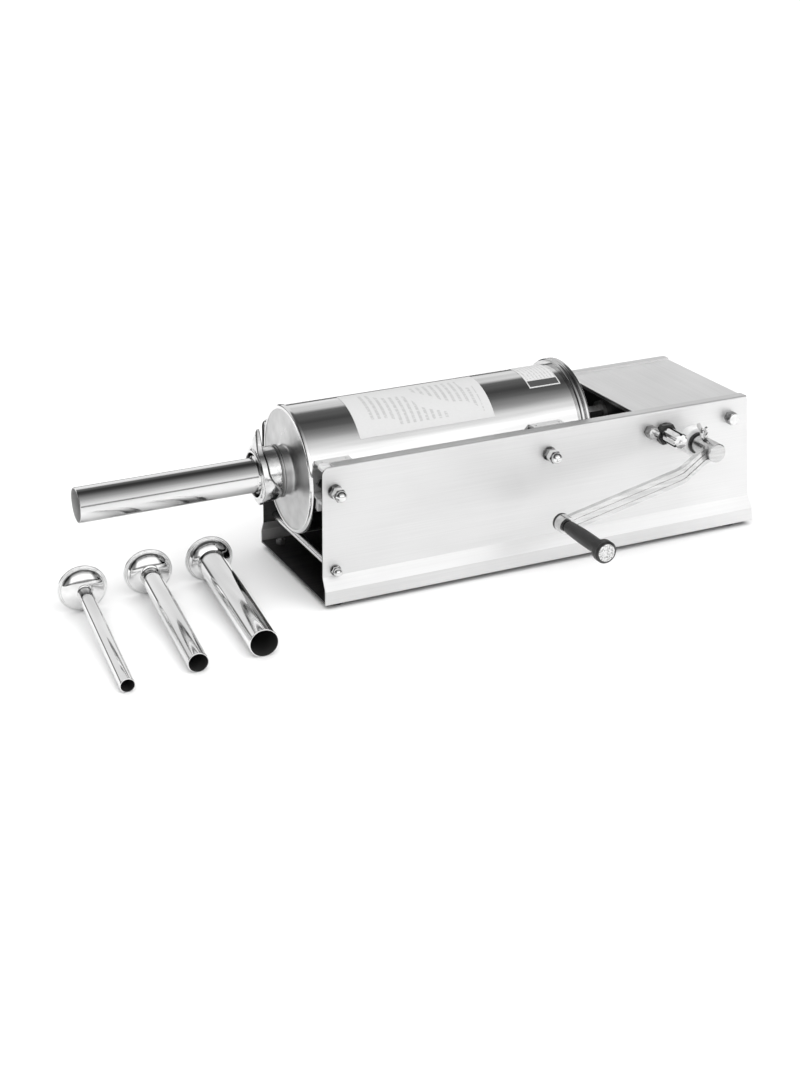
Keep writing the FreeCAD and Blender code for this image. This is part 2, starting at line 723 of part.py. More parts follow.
def bracket(end, hand, x, side):
    """A C-shaped strip on a side plate; its lower arm ends in a lip that cradles the barrel."""
    def inward(y):
        return across(f"{side}*({y})")

    node = f"{end}_bracket_{hand}"
    body = new_body(node)
    outline = new_sketch(body, f"{node}_outline", "YZ_Plane",
                         along(f"{x} + BracketShift - BracketWidth/2"))
    web = "HalfWidth - SheetThick"
    reach_high = barrel_reach("BracketHigh - BracketThick")
    arm_top = "BracketLow + BracketThick"
    middle = "(BracketLow + CradleLow) / 2"
    draw_outline(outline, [
        (inward(reach_high), up("BracketHigh")),
        (inward("HalfWidth - LipDepth - 1"), up("BracketHigh")),
        (inward("HalfWidth - LipDepth - 1"), up("PlateHeight - SheetThick - 0.5")),
        (inward(web), up("PlateHeight - SheetThick - 0.5")),
        (inward(web), up("BracketLow")),
        (inward(barrel_reach("BracketLow", "BracketThick")), up("BracketLow")),
        (inward(barrel_reach("CradleLow", "BracketThick")), up("CradleLow"),
         inward(barrel_reach(middle, "BracketThick")), up(middle)),
        (inward(barrel_reach("CradleLow")), up("CradleLow")),
        (inward(barrel_reach(arm_top)), up(arm_top),
         inward(barrel_reach(middle)), up(middle)),
        (inward(f"{web} - BracketThick"), up(arm_top)),
        (inward(f"{web} - BracketThick"),
         up("PlateHeight - SheetThick - 0.5 - BracketThick")),
        (inward("HalfWidth - LipDepth - 1 - BracketThick"),
         up("PlateHeight - SheetThick - 0.5 - BracketThick")),
        (inward("HalfWidth - LipDepth - 1 - BracketThick"), up("BracketHigh - BracketThick")),
        (inward(reach_high), up("BracketHigh - BracketThick")),
    ])
    strip = pad(body, f"{node}_strip", outline, "BracketWidth")
    x_axis = Vector(1, 0, 0)
    bend_y = size(inward(web))
    low, high = size(up("BracketLow")), size(up("PlateHeight - SheetThick - 0.5"))
    bent = fillet(body, f"{node}_bends", strip, "BracketThick * 0.9",
                  lambda edge: runs_along(edge, x_axis) and abs(edge.BoundBox.YMin - bend_y) < 0.01
                  and min(abs(edge.BoundBox.ZMin - low), abs(edge.BoundBox.ZMin - high)) < 0.01)
    hole = new_sketch(body, f"{node}_hole", "XZ_Plane")
    draw_circle(hole, along(x), up("BracketBoltHeight"), "BoltRadius + HoleGap")
    pocket_through(body, f"{node}_bore", hole)
    dots = new_sketch(body, f"{node}_dots", "XY_Plane", up("BracketHigh"))
    for step in (-1, 1):
        draw_circle(dots, along(f"{x} + BracketShift + {step}*BracketHoleStep"),
                    inward("HalfWidth - LipDepth - 5"), 1.6)
    top_holes = body.newObject("PartDesign::Pocket", f"{node}_top_holes")
    top_holes.Profile = dots
    bind(top_holes, Length="BracketThick + HoleGap")
    return finish(body, node)


def barrel_reach(z, further="0"):
    """Half-width of the barrel at a height, with the gap that lets it lift out."""
    return f"sqrt((BarrelRadius + SlideGap + {further})^2 - (({z}) - AxisHeight)^2)"


def bracket_fasteners():
    """Bolts from the brackets out through the side plates, with washers and acorn nuts."""
    bolts, nuts, washers = [], [], []
    for end, hand, x, side in bracket_places():
        name = f"{end}_{hand}"
        axis = "-Y" if side < 0 else "+Y"
        at, high = along(x), up("BracketBoltHeight")
        start = across(f"{side}*(HalfWidth - SheetThick - BracketThick - HeadHeight)")
        head = hexagon(f"bolt_head_{name}", at, start, high, axis, "HexRadius", "HeadHeight")
        shank = cylinder(f"bolt_shank_{name}", at, start, high, axis, "BoltRadius",
                         "HeadHeight + BracketThick + SheetThick + WasherThick + AcornBore")
        bolts.append(fuse(f"bolt_{name}", head, shank))
        hex_height = "AcornHex + LockNut" if side < 0 else "AcornHex"
        nuts.append(acorn_nut(f"acorn_{name}", at, high, side, "HexRadius", "AcornDome",
                              hex_height, "BoltRadius"))
        washers.append(washer(f"washer_{name}", at, high, side, "WasherRadius", "BoltRadius"))
    finish(group("bracket_bolt_group", *bolts), "bracket_bolts")
    finish(group("bracket_nut_group", *nuts), "bracket_acorn_nuts")
    finish(group("bracket_washer_group", *washers), "bracket_washers")


def tie_rod():
    """The rod that ties the side plates together low down at the front."""
    reach = "HalfWidth + WasherThick + AcornBore"
    at, high = along("RodX"), up("RodHeight")
    rod = cylinder("rod_bar", at, across(f"-({reach})"), high, "+Y", "RodRadius",
                   f"2*({reach})")
    sleeve = cylinder("rod_sleeve", at, across("-(HalfWidth - SheetThick)"), high, "+Y",
                      "RodRadius + 1.5", "2*(HalfWidth - SheetThick)")
    finish(fuse("rod_join", rod, sleeve), "front_tie_rod")
    nuts, washers = [], []
    for hand, side in (("near", -1), ("far", 1)):
        nuts.append(acorn_nut(f"rod_acorn_{hand}", at, high, side, "SmallHexRadius",
                              "SmallHexRadius * 0.84", "SmallAcornHex", "RodRadius"))
        washers.append(washer(f"rod_washer_{hand}", at, high, side, "SmallHexRadius + 0.4",
                              "RodRadius"))
    finish(group("rod_nut_group", *nuts), "tie_rod_acorn_nuts")
    finish(group("rod_washer_group", *washers), "tie_rod_washers")


def case_fasteners():
    """Bolts that hold the bearing plates off the side plates on spacer tubes."""
    bolts, nuts, spacers = [], [], []
    for end, x in (("front", "CaseBoltFrontX"), ("rear", "CaseBoltRearX")):
        for hand, side, plate in (("near", -1, "RackPlateNear"), ("far", 1, "RackPlateFar")):
            name = f"{end}_{hand}"
            axis = "-Y" if side < 0 else "+Y"
            at, high = along(x), up("CaseBoltHeight")
            head = hexagon(f"case_head_{name}", at, across(f"{side}*HalfWidth"), high, axis,
                           "HexRadius", "CaseHead")
            crown = cylinder(f"case_crown_{name}", at, across(f"{side}*(HalfWidth + CaseHead)"),
                             high, axis, "HexRadius * 0.84", 0.6)
            shank_end = f"{plate} - HoleGap"
            shank = cylinder(f"case_shank_{name}", at, across(f"{side}*({shank_end})"), high,
                             axis, "BoltRadius", f"HalfWidth - ({shank_end})")
            bolts.append(fuse(f"case_bolt_{name}", head, crown, shank))
            nut_face = across(f"{side}*({plate} + BearingPlate)")
            nuts.append(drilled(f"case_nut_{name}", hexagon, at, nut_face, high, axis,
                                "SpacerRadius + 0.1", "HeadHeight"))
            nut_end = f"{plate} + BearingPlate + HeadHeight"
            spacers.append(drilled(f"case_spacer_{name}", cylinder, at,
                                   across(f"{side}*({nut_end})"), high, axis, "SpacerRadius",
                                   f"HalfWidth - SheetThick - ({nut_end})"))
    finish(group("case_bolt_group", *bolts), "gearbox_bolts")
    finish(group("case_nut_group", *nuts), "gearbox_nuts")
    finish(group("case_spacer_group", *spacers), "gearbox_spacers")


def drilled(name, maker, x, y, z, axis, radius, height):
    """A nut or a spacer tube: a hexagon or a cylinder with the M8 bolt's hole through it."""
    blank = maker(f"{name}_blank", x, y, z, axis, radius, height)
    bore = cylinder(f"{name}_bore", x, y, z, axis, "BoltRadius", height)
    return cut(f"{name}_cut", blank, bore)


# ---------------------------------------------------------------- cylinder

def barrel():
    inner = "BarrelRadius - BarrelWall"
    body = turned_body("cylinder_barrel", [
        ("BarrelFront", inner), ("BarrelRear - 1", inner),
        ("BarrelRear - 1", "BarrelRadius"), ("BarrelFront", "BarrelRadius"),
    ], "FrontX")
    finish(body, "cylinder_barrel")


def rear_rim():
    """The rolled rim: two beads round the open end of the barrel."""
    high = "FloorGap + AxisHeight"
    seat = "RimRadius - BeadRadius"
    beads = [ring_bead(f"bead_{i}", along(f"BarrelRear - {offset}*BeadRadius"), "MidY", high,
                       "+X", seat, "BeadRadius")
             for i, offset in enumerate((1, 3.1))]
    band = cylinder("rim_band", along("BarrelRear - 4.4*BeadRadius"), "MidY", high, "+X",
                    "RimRadius - BeadRadius + 0.6", "3.4*BeadRadius")
    bore = cylinder("rim_bore", along("BarrelRear - BarrelRadius"), "MidY", high, "+X",
                    "BarrelRadius", "2*BarrelRadius")
    finish(cut("rim_cut", fuse("rim_join", band, *beads), bore), "cylinder_rear_rim")


def front_cap():
    """The dished cap that closes the front of the barrel, with the outlet's hole."""
    front = "BarrelFront - CapThick"
    body = turned_body("cylinder_front_cap", [
        (front, "NeckBore"), ("BarrelFront", "NeckBore"),
        ("BarrelFront", "CapRadius"), (front, "CapRadius"),
    ], "FrontX")
    blank = doc.getObject("cylinder_front_cap_turning")
    corner = size(along(front))
    radius = size("CapRadius")
    fillet(body, "cap_round", blank, "CapRound",
           lambda edge: edge.Curve.TypeId == "Part::GeomCircle"
           and abs(edge.Curve.Radius - radius) < 0.01
           and abs(edge.Curve.Center.x + size("FrontX") - corner) < 0.01)
    finish(body, "cylinder_front_cap")


def outlet_neck():
    """The threaded neck that the ring nut screws onto, with its threads' crests."""
    front = "BarrelFront - CapThick"
    end = f"{front} - NeckLength"
    body = turned_body("outlet_neck", [
        (end, "NeckBore"), (front, "NeckBore"),
        (front, "NeckRadius + 3"), (f"{front} - 2.5", "NeckRadius"), (end, "NeckRadius"),
    ], "FrontX")
    finish(body, "outlet_neck")
    gasket = turned_body("outlet_gasket", [
        (f"{end} - GasketThick", "NeckBore + 1"), (end, "NeckBore + 1"),
        (end, "NeckRadius - 1"), (f"{end} - GasketThick", "NeckRadius - 1"),
    ], "FrontX")
    finish(gasket, "outlet_gasket")


# ---------------------------------------------------------------- stuffing tubes

def tube_body(node, radius):
    """A stuffing tube along its own -X axis: flat rim at 0, domed shoulder, straight spout."""
    inner = f"{radius} - TubeWall"
    foot = "TubeRimThick + DomeLength"
    swell = f"({radius} + DomeRadius) / 2 + (DomeRadius - {radius}) * 0.2"
    swell_in = f"{swell} - TubeWall"
    turned = turned_solid(node, [
        ("0", "DomeRadius - TubeWall"), ("0", "TubeRimRadius"),
        ("-TubeRimThick", "TubeRimRadius"), ("-TubeRimThick", "DomeRadius"),
        (f"-({foot})", radius, "-TubeRimThick - DomeLength*0.62", swell),
        ("-TubeLength", radius), ("-TubeLength", inner),
        (f"-({foot})", inner),
        ("-TubeRimThick", "DomeRadius - TubeWall",
         "-TubeRimThick - DomeLength*0.62 + TubeWall*0.6", swell_in),
    ])
    rim = size("TubeRimRadius")
    return round_edges(f"{node}_rim_round", turned, "TubeRimThick * 0.4",
                       lambda edge: edge.Curve.TypeId == "Part::GeomCircle"
                       and abs(edge.Curve.Radius - rim) < 0.01)


def mounted_tube():
    body = tube_body("stuffing_tube_mounted", "MountedRadius")
    place(body, along("BarrelFront - CapThick - NeckLength - GasketThick"), "MidY",
          up("AxisHeight"))
    finish(body, "stuffing_tube_mounted")


def loose_tube(name, radius, x, y):
    """A tube laid on the table, resting on its rim and the underside of its tip."""
    node = f"stuffing_tube_{name}"
    body = tube_body(node, radius)
    tilt = f"atan((TubeRimRadius - {radius}) / (TubeLength - TubeRimThick))"
    lean = math.radians(size(tilt))
    turn = FreeCAD.Rotation(Vector(0, 0, 1), 90 - size("LooseTurn"))
    drop = FreeCAD.Rotation(Vector(0, 1, 0), -math.degrees(lean))
    body.Placement = FreeCAD.Placement(Vector(), turn * drop)
    lift = f"TubeRimRadius*cos({tilt}) + TubeRimThick*sin({tilt})"
    place(body, along(x), across(y), lift)
    finish(body, node)


def nut_lug(body, side, tip):
    """One pointed lug: three sections stacked outward from the axis and lofted together."""
    sections = [
        ("NutRadius - 12", "NutFront", "NutFront + 21", 22),
        ("NutRadius + 1", "NutFront + 0.8", "NutFront + 12", 10),
        (tip, "NutFront + 7.5", "NutFront + 11.5", 2.6),
    ]
    sketches = []
    for level, (height, front, back, half) in enumerate(sections):
        sketch = new_sketch(body, f"lug_{level}_{side + 1}", "XY_Plane", f"{side}*({height})")
        draw_outline(sketch, [(front, f"-{half}"), (back, f"-{half}"), (back, half),
                              (front, half)])
        sketches.append(sketch)
    loft = body.newObject("PartDesign::AdditiveLoft", f"lug_loft_{side + 1}")
    loft.Profile = sketches[0]
    loft.Sections = sketches[1:]
    doc.recompute()


def ring_nut():
    """The ring nut: a round body with two pointed lugs, bored for the neck and the tube."""
    body = new_body("ring_nut")
    section = new_sketch(body, "nut_section", "XZ_Plane")
    draw_outline(section, [
        ("NutRear", 0), ("NutRear", "NutRadius - 1"), ("NutRear - 1", "NutRadius"),
        ("NutFront + 5", "NutRadius"), ("NutFront", "NutRadius - 2.5"), ("NutFront", 0),
    ])
    revolve(body, "nut_turning", section)
    nut_lug(body, 1, "HighLug")
    nut_lug(body, -1, "LowLug")
    rim_face = "BarrelFront - CapThick - NeckLength - GasketThick - TubeRimThick - ThreadGap"
    wide = "NeckRadius + ThreadGap"
    narrow = "DomeRadius + ThreadGap"
    bore = new_sketch(body, "nut_bore_section", "XZ_Plane")
    draw_outline(bore, [
        ("NutRear + 1", 0), ("NutRear + 1", wide), (rim_face, wide), (rim_face, narrow),
        ("NutFront - 1", narrow), ("NutFront - 1", 0),
    ])
    groove = body.newObject("PartDesign::Groove", "nut_bore")
    groove.Profile = bore
    groove.ReferenceAxis = (bore, ["H_Axis"])
    groove.Angle = 360
    place(body, "FrontX", "MidY", up("AxisHeight"))
    finish(body, "ring_nut")


# ---------------------------------------------------------------- gear train

def involute_angle(radius, base):
    """Angle that an involute has turned through by the time it reaches a radius."""
    pressure = math.acos(min(1.0, base / radius))
    return math.tan(pressure) - pressure


def polar(radius, angle):
    return Vector(radius * math.cos(angle), 0, radius * math.sin(angle))


def gear_wire(teeth, phase):
    """A spur gear's outline round the Y axis, with the middle of one tooth at a phase."""
    module = size("GearModule")
    pitch = module * teeth / 2
    base = pitch * math.cos(math.radians(size("PressureAngle")))
    tip, root = pitch + module, pitch - 1.25 * module
    half = (math.pi * module - size("Backlash")) / 2 / (2 * pitch)
    half_base = half + involute_angle(pitch, base)
    start = max(base, root)
    middle_radius = (start + tip) / 2
    edges = []
    for tooth in range(teeth):
        centre = phase + 2 * math.pi * tooth / teeth

        def flank(radius, hand):
            return polar(radius, centre + hand * (half_base - involute_angle(radius, base)))

        rising = [flank(radius, -1) for radius in (start, middle_radius, tip)]
        falling = [flank(radius, 1) for radius in (tip, middle_radius, start)]
        foot_in, foot_out = polar(root, centre - half_base), polar(root, centre + half_base)
        following = centre + 2 * math.pi / teeth
        if start > root:
            edges.append(Part.LineSegment(foot_in, rising[0]).toShape())
        edges.append(Part.Arc(*rising).toShape())
        edges.append(Part.Arc(rising[2], polar(tip, centre), falling[0]).toShape())
        edges.append(Part.Arc(*falling).toShape())
        if start > root:
            edges.append(Part.LineSegment(falling[2], foot_out).toShape())
        gap_end = polar(root, following - half_base)
        gap_start = foot_out if start > root else falling[2]
        edges.append(Part.Arc(gap_start, polar(root, centre + math.pi / teeth),
                              gap_end).toShape())
    return Part.Wire(edges)


def gear(node, teeth, phase, bore, width, boss=None):
    """A spur gear on a shaft along Y, as a solid made from its outline."""
    blank = Part.Face(gear_wire(teeth, phase)).extrude(Vector(0, size(width), 0))
    if boss:
        boss_radius, boss_length = (size(each) for each in boss)
        blank = blank.fuse(Part.makeCylinder(boss_radius, size(width) + boss_length, Vector(),
                                             Vector(0, 1, 0)))
    reach = size("Length")
    tool = Part.makeCylinder(size(bore), 2 * reach, Vector(0, -reach, 0), Vector(0, 1, 0))
    item = doc.addObject("Part::Feature", node)
    item.Shape = blank.cut(tool).removeSplitter()
    return item


def gear_train():
    """The pinion under the rack, the large gear beside it and the small gear that drives it."""
    crank_high = size("CrankHeight")
    pinion = gear("rack_pinion", int(size("PinionTeeth")), math.pi / 2, "PinionShaftRadius",
                  "2*RackHalfWidth + 1")
    place(pinion, along("CrankX"), across("-RackHalfWidth - 0.5"), up("CrankHeight"))
    finish(pinion, "rack_pinion")
    rise = slow_rise()
    towards = math.atan2(rise, -size("CrankX - SlowX"))
    large_teeth, small_teeth = int(size("LargeTeeth")), int(size("SmallTeeth"))
    large = gear("large_gear", large_teeth, towards, "CrankShaftRadius", "LargeGearThick",
                 ("CrankShaftRadius + 6", "LargeGearBoss"))
    place(large, along("CrankX"), across("-HalfWidth + GearInset"), up("CrankHeight"))
    finish(large, "large_gear")
    opposite = towards + math.pi + math.pi / small_teeth
    small = gear("small_gear", small_teeth, opposite, "SlowShaftRadius", "SmallGearThick")
    inset = "GearInset - (SmallGearThick - LargeGearThick)/2"
    place(small, along("SlowX"), across(f"-HalfWidth + {inset}"), up(crank_high + rise))
    finish(small, "small_gear")


def rack_bar():
    """The rack: a bar with teeth along its underside, one of them in mesh with the pinion."""
    module = size("GearModule")
    pitch = math.pi * module
    pitch_line = size(up("CrankHeight + GearModule*PinionTeeth/2"))
    tip_z, root_z = pitch_line - 0.8 * module, pitch_line + 1.25 * module
    slope = math.tan(math.radians(size("PressureAngle")))
    half = (pitch - size("Backlash")) / 4
    gap_middle = size(along("CrankX"))
    front, rear = size(along("RackFront")), size(along("RackRear"))
    teeth_front = size(along("RackTeethFront"))
    first = math.ceil((teeth_front - gap_middle) / pitch)
    last = math.floor((rear - half - gap_middle) / pitch - 0.5)
    top = size(up("RackTop"))
    points = [(front, top), (front, tip_z), (teeth_front - pitch, tip_z)]
    points.append((teeth_front - pitch + 1, root_z))
    for number in range(first, last + 1):
        middle = gap_middle + (number + 0.5) * pitch
        root_half = half + (root_z - pitch_line) * slope
        tip_half = half - (pitch_line - tip_z) * slope
        points += [(middle - root_half, root_z), (middle - tip_half, tip_z),
                   (middle + tip_half, tip_z), (middle + root_half, root_z)]
    points += [(rear, root_z), (rear, top)]
    corners = [Vector(x, 0, z) for x, z in points]
    face = Part.Face(Part.makePolygon(corners + corners[:1]))
    width = 2 * size("RackHalfWidth")
    bar = face.extrude(Vector(0, width, 0))
    hole = Part.makeCylinder(size("BoltRadius"), 22, Vector(front - 1, width / 2,
                             (top + tip_z) / 2), Vector(1, 0, 0))
    item = doc.addObject("Part::Feature", "rack_bar")
    item.Shape = bar.cut(hole)
    place(item, None, across("-RackHalfWidth"), None)
    finish(item, "rack_bar")


def rack_middle():
    return "(CrankHeight + GearModule*(PinionTeeth/2 - 0.8) + RackTop) / 2"


def rack_guides():
    """The bushes in the two cross walls and the block that holds the rack on its pinion."""
    rack_bush("rack_front_bush", "CoverFront + 2", "-RackFlangeThick")
    rack_bush("rack_rear_bush", "CoverRear - SheetThick - 2", "SheetThick")
    block = box("guide_block", along("CrankX - GuideLength/2"), across("-RackPlateNear"),
                up("RackTop + SlideGap"), "GuideLength", "RackPlateNear + RackPlateFar",
                "GuideHeight")
    finish(block, "rack_guide_block")


def rack_bush(node, wall, flange_offset):
    """A plug in a wall's window, with a round flange on the wall's outer side."""
    plug = rack_window(f"{node}_plug", along(wall), "SheetThick", "WindowGap")
    flange = cylinder(f"{node}_flange", along(f"{wall} + ({flange_offset})"), "MidY",
                      up(rack_middle()), "+X", "RackFlange", "RackFlangeThick")
    joined = fuse(f"{node}_join", flange, plug)
    slot = rack_window(f"{node}_slot", along(f"{wall} - RackFlangeThick - 1"),
                       "SheetThick + 2*RackFlangeThick + 2", "SlideGap")
    finish(cut(f"{node}_cut", joined, slot), node)


def shafts():
    """The crank shaft with its pinion journal, and the slow shaft with its splined end."""
    body = new_body("crank_shaft")
    section = new_sketch(body, "crank_shaft_section", "YZ_Plane")
    outer = "-HalfWidth - HubEnd + 6"
    step = "-RackHalfWidth - 1.5"
    end = "RackPlateFar + BearingPlate + 4"
    draw_outline(section, [
        (outer, 0), (outer, "CrankShaftRadius - 1"), (f"{outer} + 1", "CrankShaftRadius"),
        (step, "CrankShaftRadius"), (step, "PinionShaftRadius"),
        (end, "PinionShaftRadius"), (end, 0),
    ])
    revolve(body, "crank_shaft_turning", section)
    place(body, along("CrankX"), "MidY", up("CrankHeight"))
    finish(body, "crank_shaft")

    slow = new_body("slow_shaft")
    section = new_sketch(slow, "slow_shaft_section", "YZ_Plane")
    outer = "-HalfWidth - SplineLength"
    draw_outline(section, [
        (f"{outer} + 1.2", 0), (outer, 2), (outer, "SplineRadius - 1"),
        (f"{outer} + 1", "SplineRadius"), ("-HalfWidth + 6", "SplineRadius"),
        ("-HalfWidth + 6", "SlowShaftRadius"),
        ("-RackPlateNear + 3.5", "SlowShaftRadius"), ("-RackPlateNear + 3.5", 0),
    ])
    revolve(slow, "slow_shaft_turning", section)
    flute = new_sketch(slow, "flute_outline", "XZ_Plane", "HalfWidth + 9")
    draw_outline(flute, [
        ("-1.5", "SplineRadius - 2.2"), ("1.5", "SplineRadius - 2.2"),
        ("1.5", "SplineRadius + 1"), ("-1.5", "SplineRadius + 1"),
    ])
    slot = slow.newObject("PartDesign::Pocket", "flute")
    slot.Profile = flute
    bind(slot, Length="SplineLength + 5")
    slot.Reversed = True
    pattern = slow.newObject("PartDesign::PolarPattern", "flutes")
    pattern.Originals = [slot]
    pattern.Axis = (origin_feature(slow, "Y_Axis"), [""])
    pattern.Angle = 360
    pattern.Occurrences = 6
    slow.Tip = pattern
    doc.recompute()
    if pattern.Shape.Volume > slot.Shape.Volume - 1:
        raise RuntimeError("the flutes cut nothing")
    place(slow, along("SlowX"), "MidY", up(size("CrankHeight") + slow_rise()))
    finish(slow, "slow_shaft")


def bush(node, x, z, y, length, bore, outer, flange=None, hexagonal=False):
    """A bush along +Y from y, with an optional flange (offset, thickness, radius)."""
    tube = cylinder(f"{node}_tube", x, y, z, "+Y", outer, length)
    pieces = [tube]
    if flange:
        offset, thick, radius = flange
        maker = hexagon if hexagonal else cylinder
        pieces.append(maker(f"{node}_flange", x, f"{y} + ({offset})", z, "+Y", radius, thick))
    solid = fuse(f"{node}_join", *pieces) if flange else tube
    hole = cylinder(f"{node}_bore", x, f"{y} - BossLength - 1", z, "+Y", bore,
                    f"{length} + 2*BossLength + 2")
    finish(cut(f"{node}_cut", solid, hole), node)


def bushes():
    crank = along("CrankX"), up("CrankHeight")
    slow = along("SlowX"), up(size("CrankHeight") + slow_rise())
    run = "CrankShaftRadius + RunGap"
    through_sheet = "SheetThick + 3"
    through_plate = "BearingPlate + FlangeThick"
    inner_start = across("-RackPlateNear - BearingPlate - FlangeThick")
    bush("crank_outer_bush", *crank, across("-HalfWidth"), through_sheet, run,
         "BossRadius - BushWall", ("-BossLength", "BossLength", "BossRadius"))
    bush("crank_inner_bush", *crank, inner_start, through_plate, run,
         "CrankShaftRadius + BushWall", (0, "FlangeThick", "CrankShaftRadius + 5"))
    bush("crank_far_bush", *crank, across("RackPlateFar"), through_plate,
         "PinionShaftRadius + RunGap", "PinionShaftRadius + BushWall",
         ("BearingPlate", "FlangeThick", "PinionShaftRadius + 4.5"))
    bush("slow_outer_bush", *slow, across("-HalfWidth"), through_sheet,
         "SplineRadius + RunGap", "SplineRadius + BushWall", (-7, 7, "SplineRadius + 4"), True)
    bush("slow_inner_bush", *slow, inner_start, through_plate,
         "SlowShaftRadius + RunGap", "SlowShaftRadius + BushWall",
         (0, "FlangeThick", "SlowShaftRadius + 5"))


def retaining_ring(node, x, z, y, shaft):
    """A spring ring on a shaft's end, open on one side."""
    outer = f"{shaft} + 3.5"
    disc = cylinder(f"{node}_disc", x, y, z, "+Y", outer, "RingThick")
    hole = cylinder(f"{node}_hole", x, y, z, "+Y", shaft, "RingThick")
    gap = box(f"{node}_gap", f"{x} - 2", y, z, 4, "RingThick", outer)
    finish(cut(f"{node}_cut", disc, hole, gap), node)


def retaining_rings():
    retaining_ring("crank_retaining_ring", along("CrankX"), up("CrankHeight"),
                   across("RackPlateFar + BearingPlate + FlangeThick + SlideGap"),
                   "PinionShaftRadius")
    retaining_ring("slow_retaining_ring", along("SlowX"),
                   up(size("CrankHeight") + slow_rise()),
                   across("-RackPlateNear + SlideGap"), "SlowShaftRadius")


# ---------------------------------------------------------------- piston

def piston():
    back = "PistonFront + PistonThick"
    body = turned_body("piston_disc", [
        ("PistonFront", 0), ("PistonFront", "PistonRadius - 2"),
        ("PistonFront + 2", "PistonRadius"), ("PistonFront + SealFront", "PistonRadius"),
        ("PistonFront + SealFront", "SealInner"), ("PistonFront + SealBack", "SealInner"),
        ("PistonFront + SealBack", "PistonRadius"), (back, "PistonRadius"),
        (back, "PistonRadius - PistonLand"), (f"{back} - PistonDish", "PistonRadius - PistonLand - 4"),
        (f"{back} - PistonDish", "PistonBoss"), ("RackFront", "PistonBoss - 3"), ("RackFront", 0),
    ], "FrontX")
    bore = new_sketch(body, "piston_bore_outline", "YZ_Plane")
    draw_circle(bore, 0, f"{rack_middle()} - AxisHeight", "BoltRadius")
    pocket_through(body, "piston_bore", bore)
    recess = new_sketch(body, "piston_recess_outline", "YZ_Plane", "PistonFront")
    draw_circle(recess, 0, f"{rack_middle()} - AxisHeight", "HexRadius + 1")
    sink = body.newObject("PartDesign::Pocket", "piston_recess")
    sink.Profile = recess
    sink.Reversed = True
    bind(sink, Length="RecessDepth")
    doc.recompute()
    if sink.Shape.Volume > sink.BaseFeature.Shape.Volume - 1:
        raise RuntimeError("the piston's recess cuts nothing")
    finish(body, "piston_disc")
    seal = turned_body("piston_seal", [
        ("PistonFront + SealFront", "SealInner"), ("PistonFront + SealFront", "SealRadius"),
        ("PistonFront + 8.5", "SealRadius"), ("PistonFront + 9.5", "SealRadius - 1"),
        ("PistonFront + 10.5", "SealRadius"), ("PistonFront + SealBack", "SealRadius"),
        ("PistonFront + SealBack", "SealInner"),
    ], "FrontX")
    finish(seal, "piston_seal")
    high = up(rack_middle())
    head = hexagon("piston_bolt_head", along("PistonFront + 0.6"), "MidY", high, "+X",
                   "HexRadius", 5.4)
    shank = cylinder("piston_bolt_shank", along("PistonFront + 2"), "MidY", high, "+X",
                     "BoltRadius", "RackFront - PistonFront + BoltIntoRack")
    finish(fuse("piston_bolt_join", head, shank), "piston_bolt")


# ---------------------------------------------------------------- crank

def on_crank(item):
    """Puts a piece that is drawn round the crank's own axis at the crank's rest angle."""
    item.Placement = FreeCAD.Placement(Vector(), FreeCAD.Rotation(Vector(0, 1, 0),
                                                                  -size("CrankDrop")))
    place(item, along("CrankX"), "MidY", up("CrankHeight"))
    return item


def out(distance):
    """A distance outside the near side plate's face, in the crank's own frame."""
    return f"-HalfWidth - ({distance})"


def crank_hub():
    body = new_body("crank_hub")
    section = new_sketch(body, "hub_section", "YZ_Plane")
    draw_outline(section, [
        (out("HubStart"), "CrankShaftRadius"), (out("HubEnd - 6"), "CrankShaftRadius"),
        (out("HubEnd - 6"), 0), (out("HubEnd"), 0),
        (out("HubEnd"), "HubRadius - 0.8"), (out("HubEnd - 0.8"), "HubRadius"),
        (out("HubStart"), "HubRadius"),
    ])
    revolve(body, "hub_turning", section)
    bore = new_sketch(body, "hub_screw_outline", "XY_Plane")
    draw_circle(bore, 0, out("ScrewOut"), "ScrewRadius + ThreadGap")
    drill = body.newObject("PartDesign::Pocket", "hub_screw_hole")
    drill.Profile = bore
    drill.Reversed = True
    bind(drill, Length="ScrewHole")
    doc.recompute()
    if drill.Shape.Volume > drill.BaseFeature.Shape.Volume - 1:
        raise RuntimeError("the hub's screw hole cuts nothing")
    finish(on_crank(body), "crank_hub")
    ring = cylinder("shaft_seal_disc", 0, 0, 0, "+Y", "HubRadius + 1.8", "SealRing")
    hole = cylinder("shaft_seal_hole", 0, 0, 0, "+Y", "CrankShaftRadius", "SealRing")
    washer_ring = cut("shaft_seal_cut", ring, hole)
    place(washer_ring, along("CrankX"), across(out("HubStart")), up("CrankHeight"))
    finish(washer_ring, "crank_seal_ring")


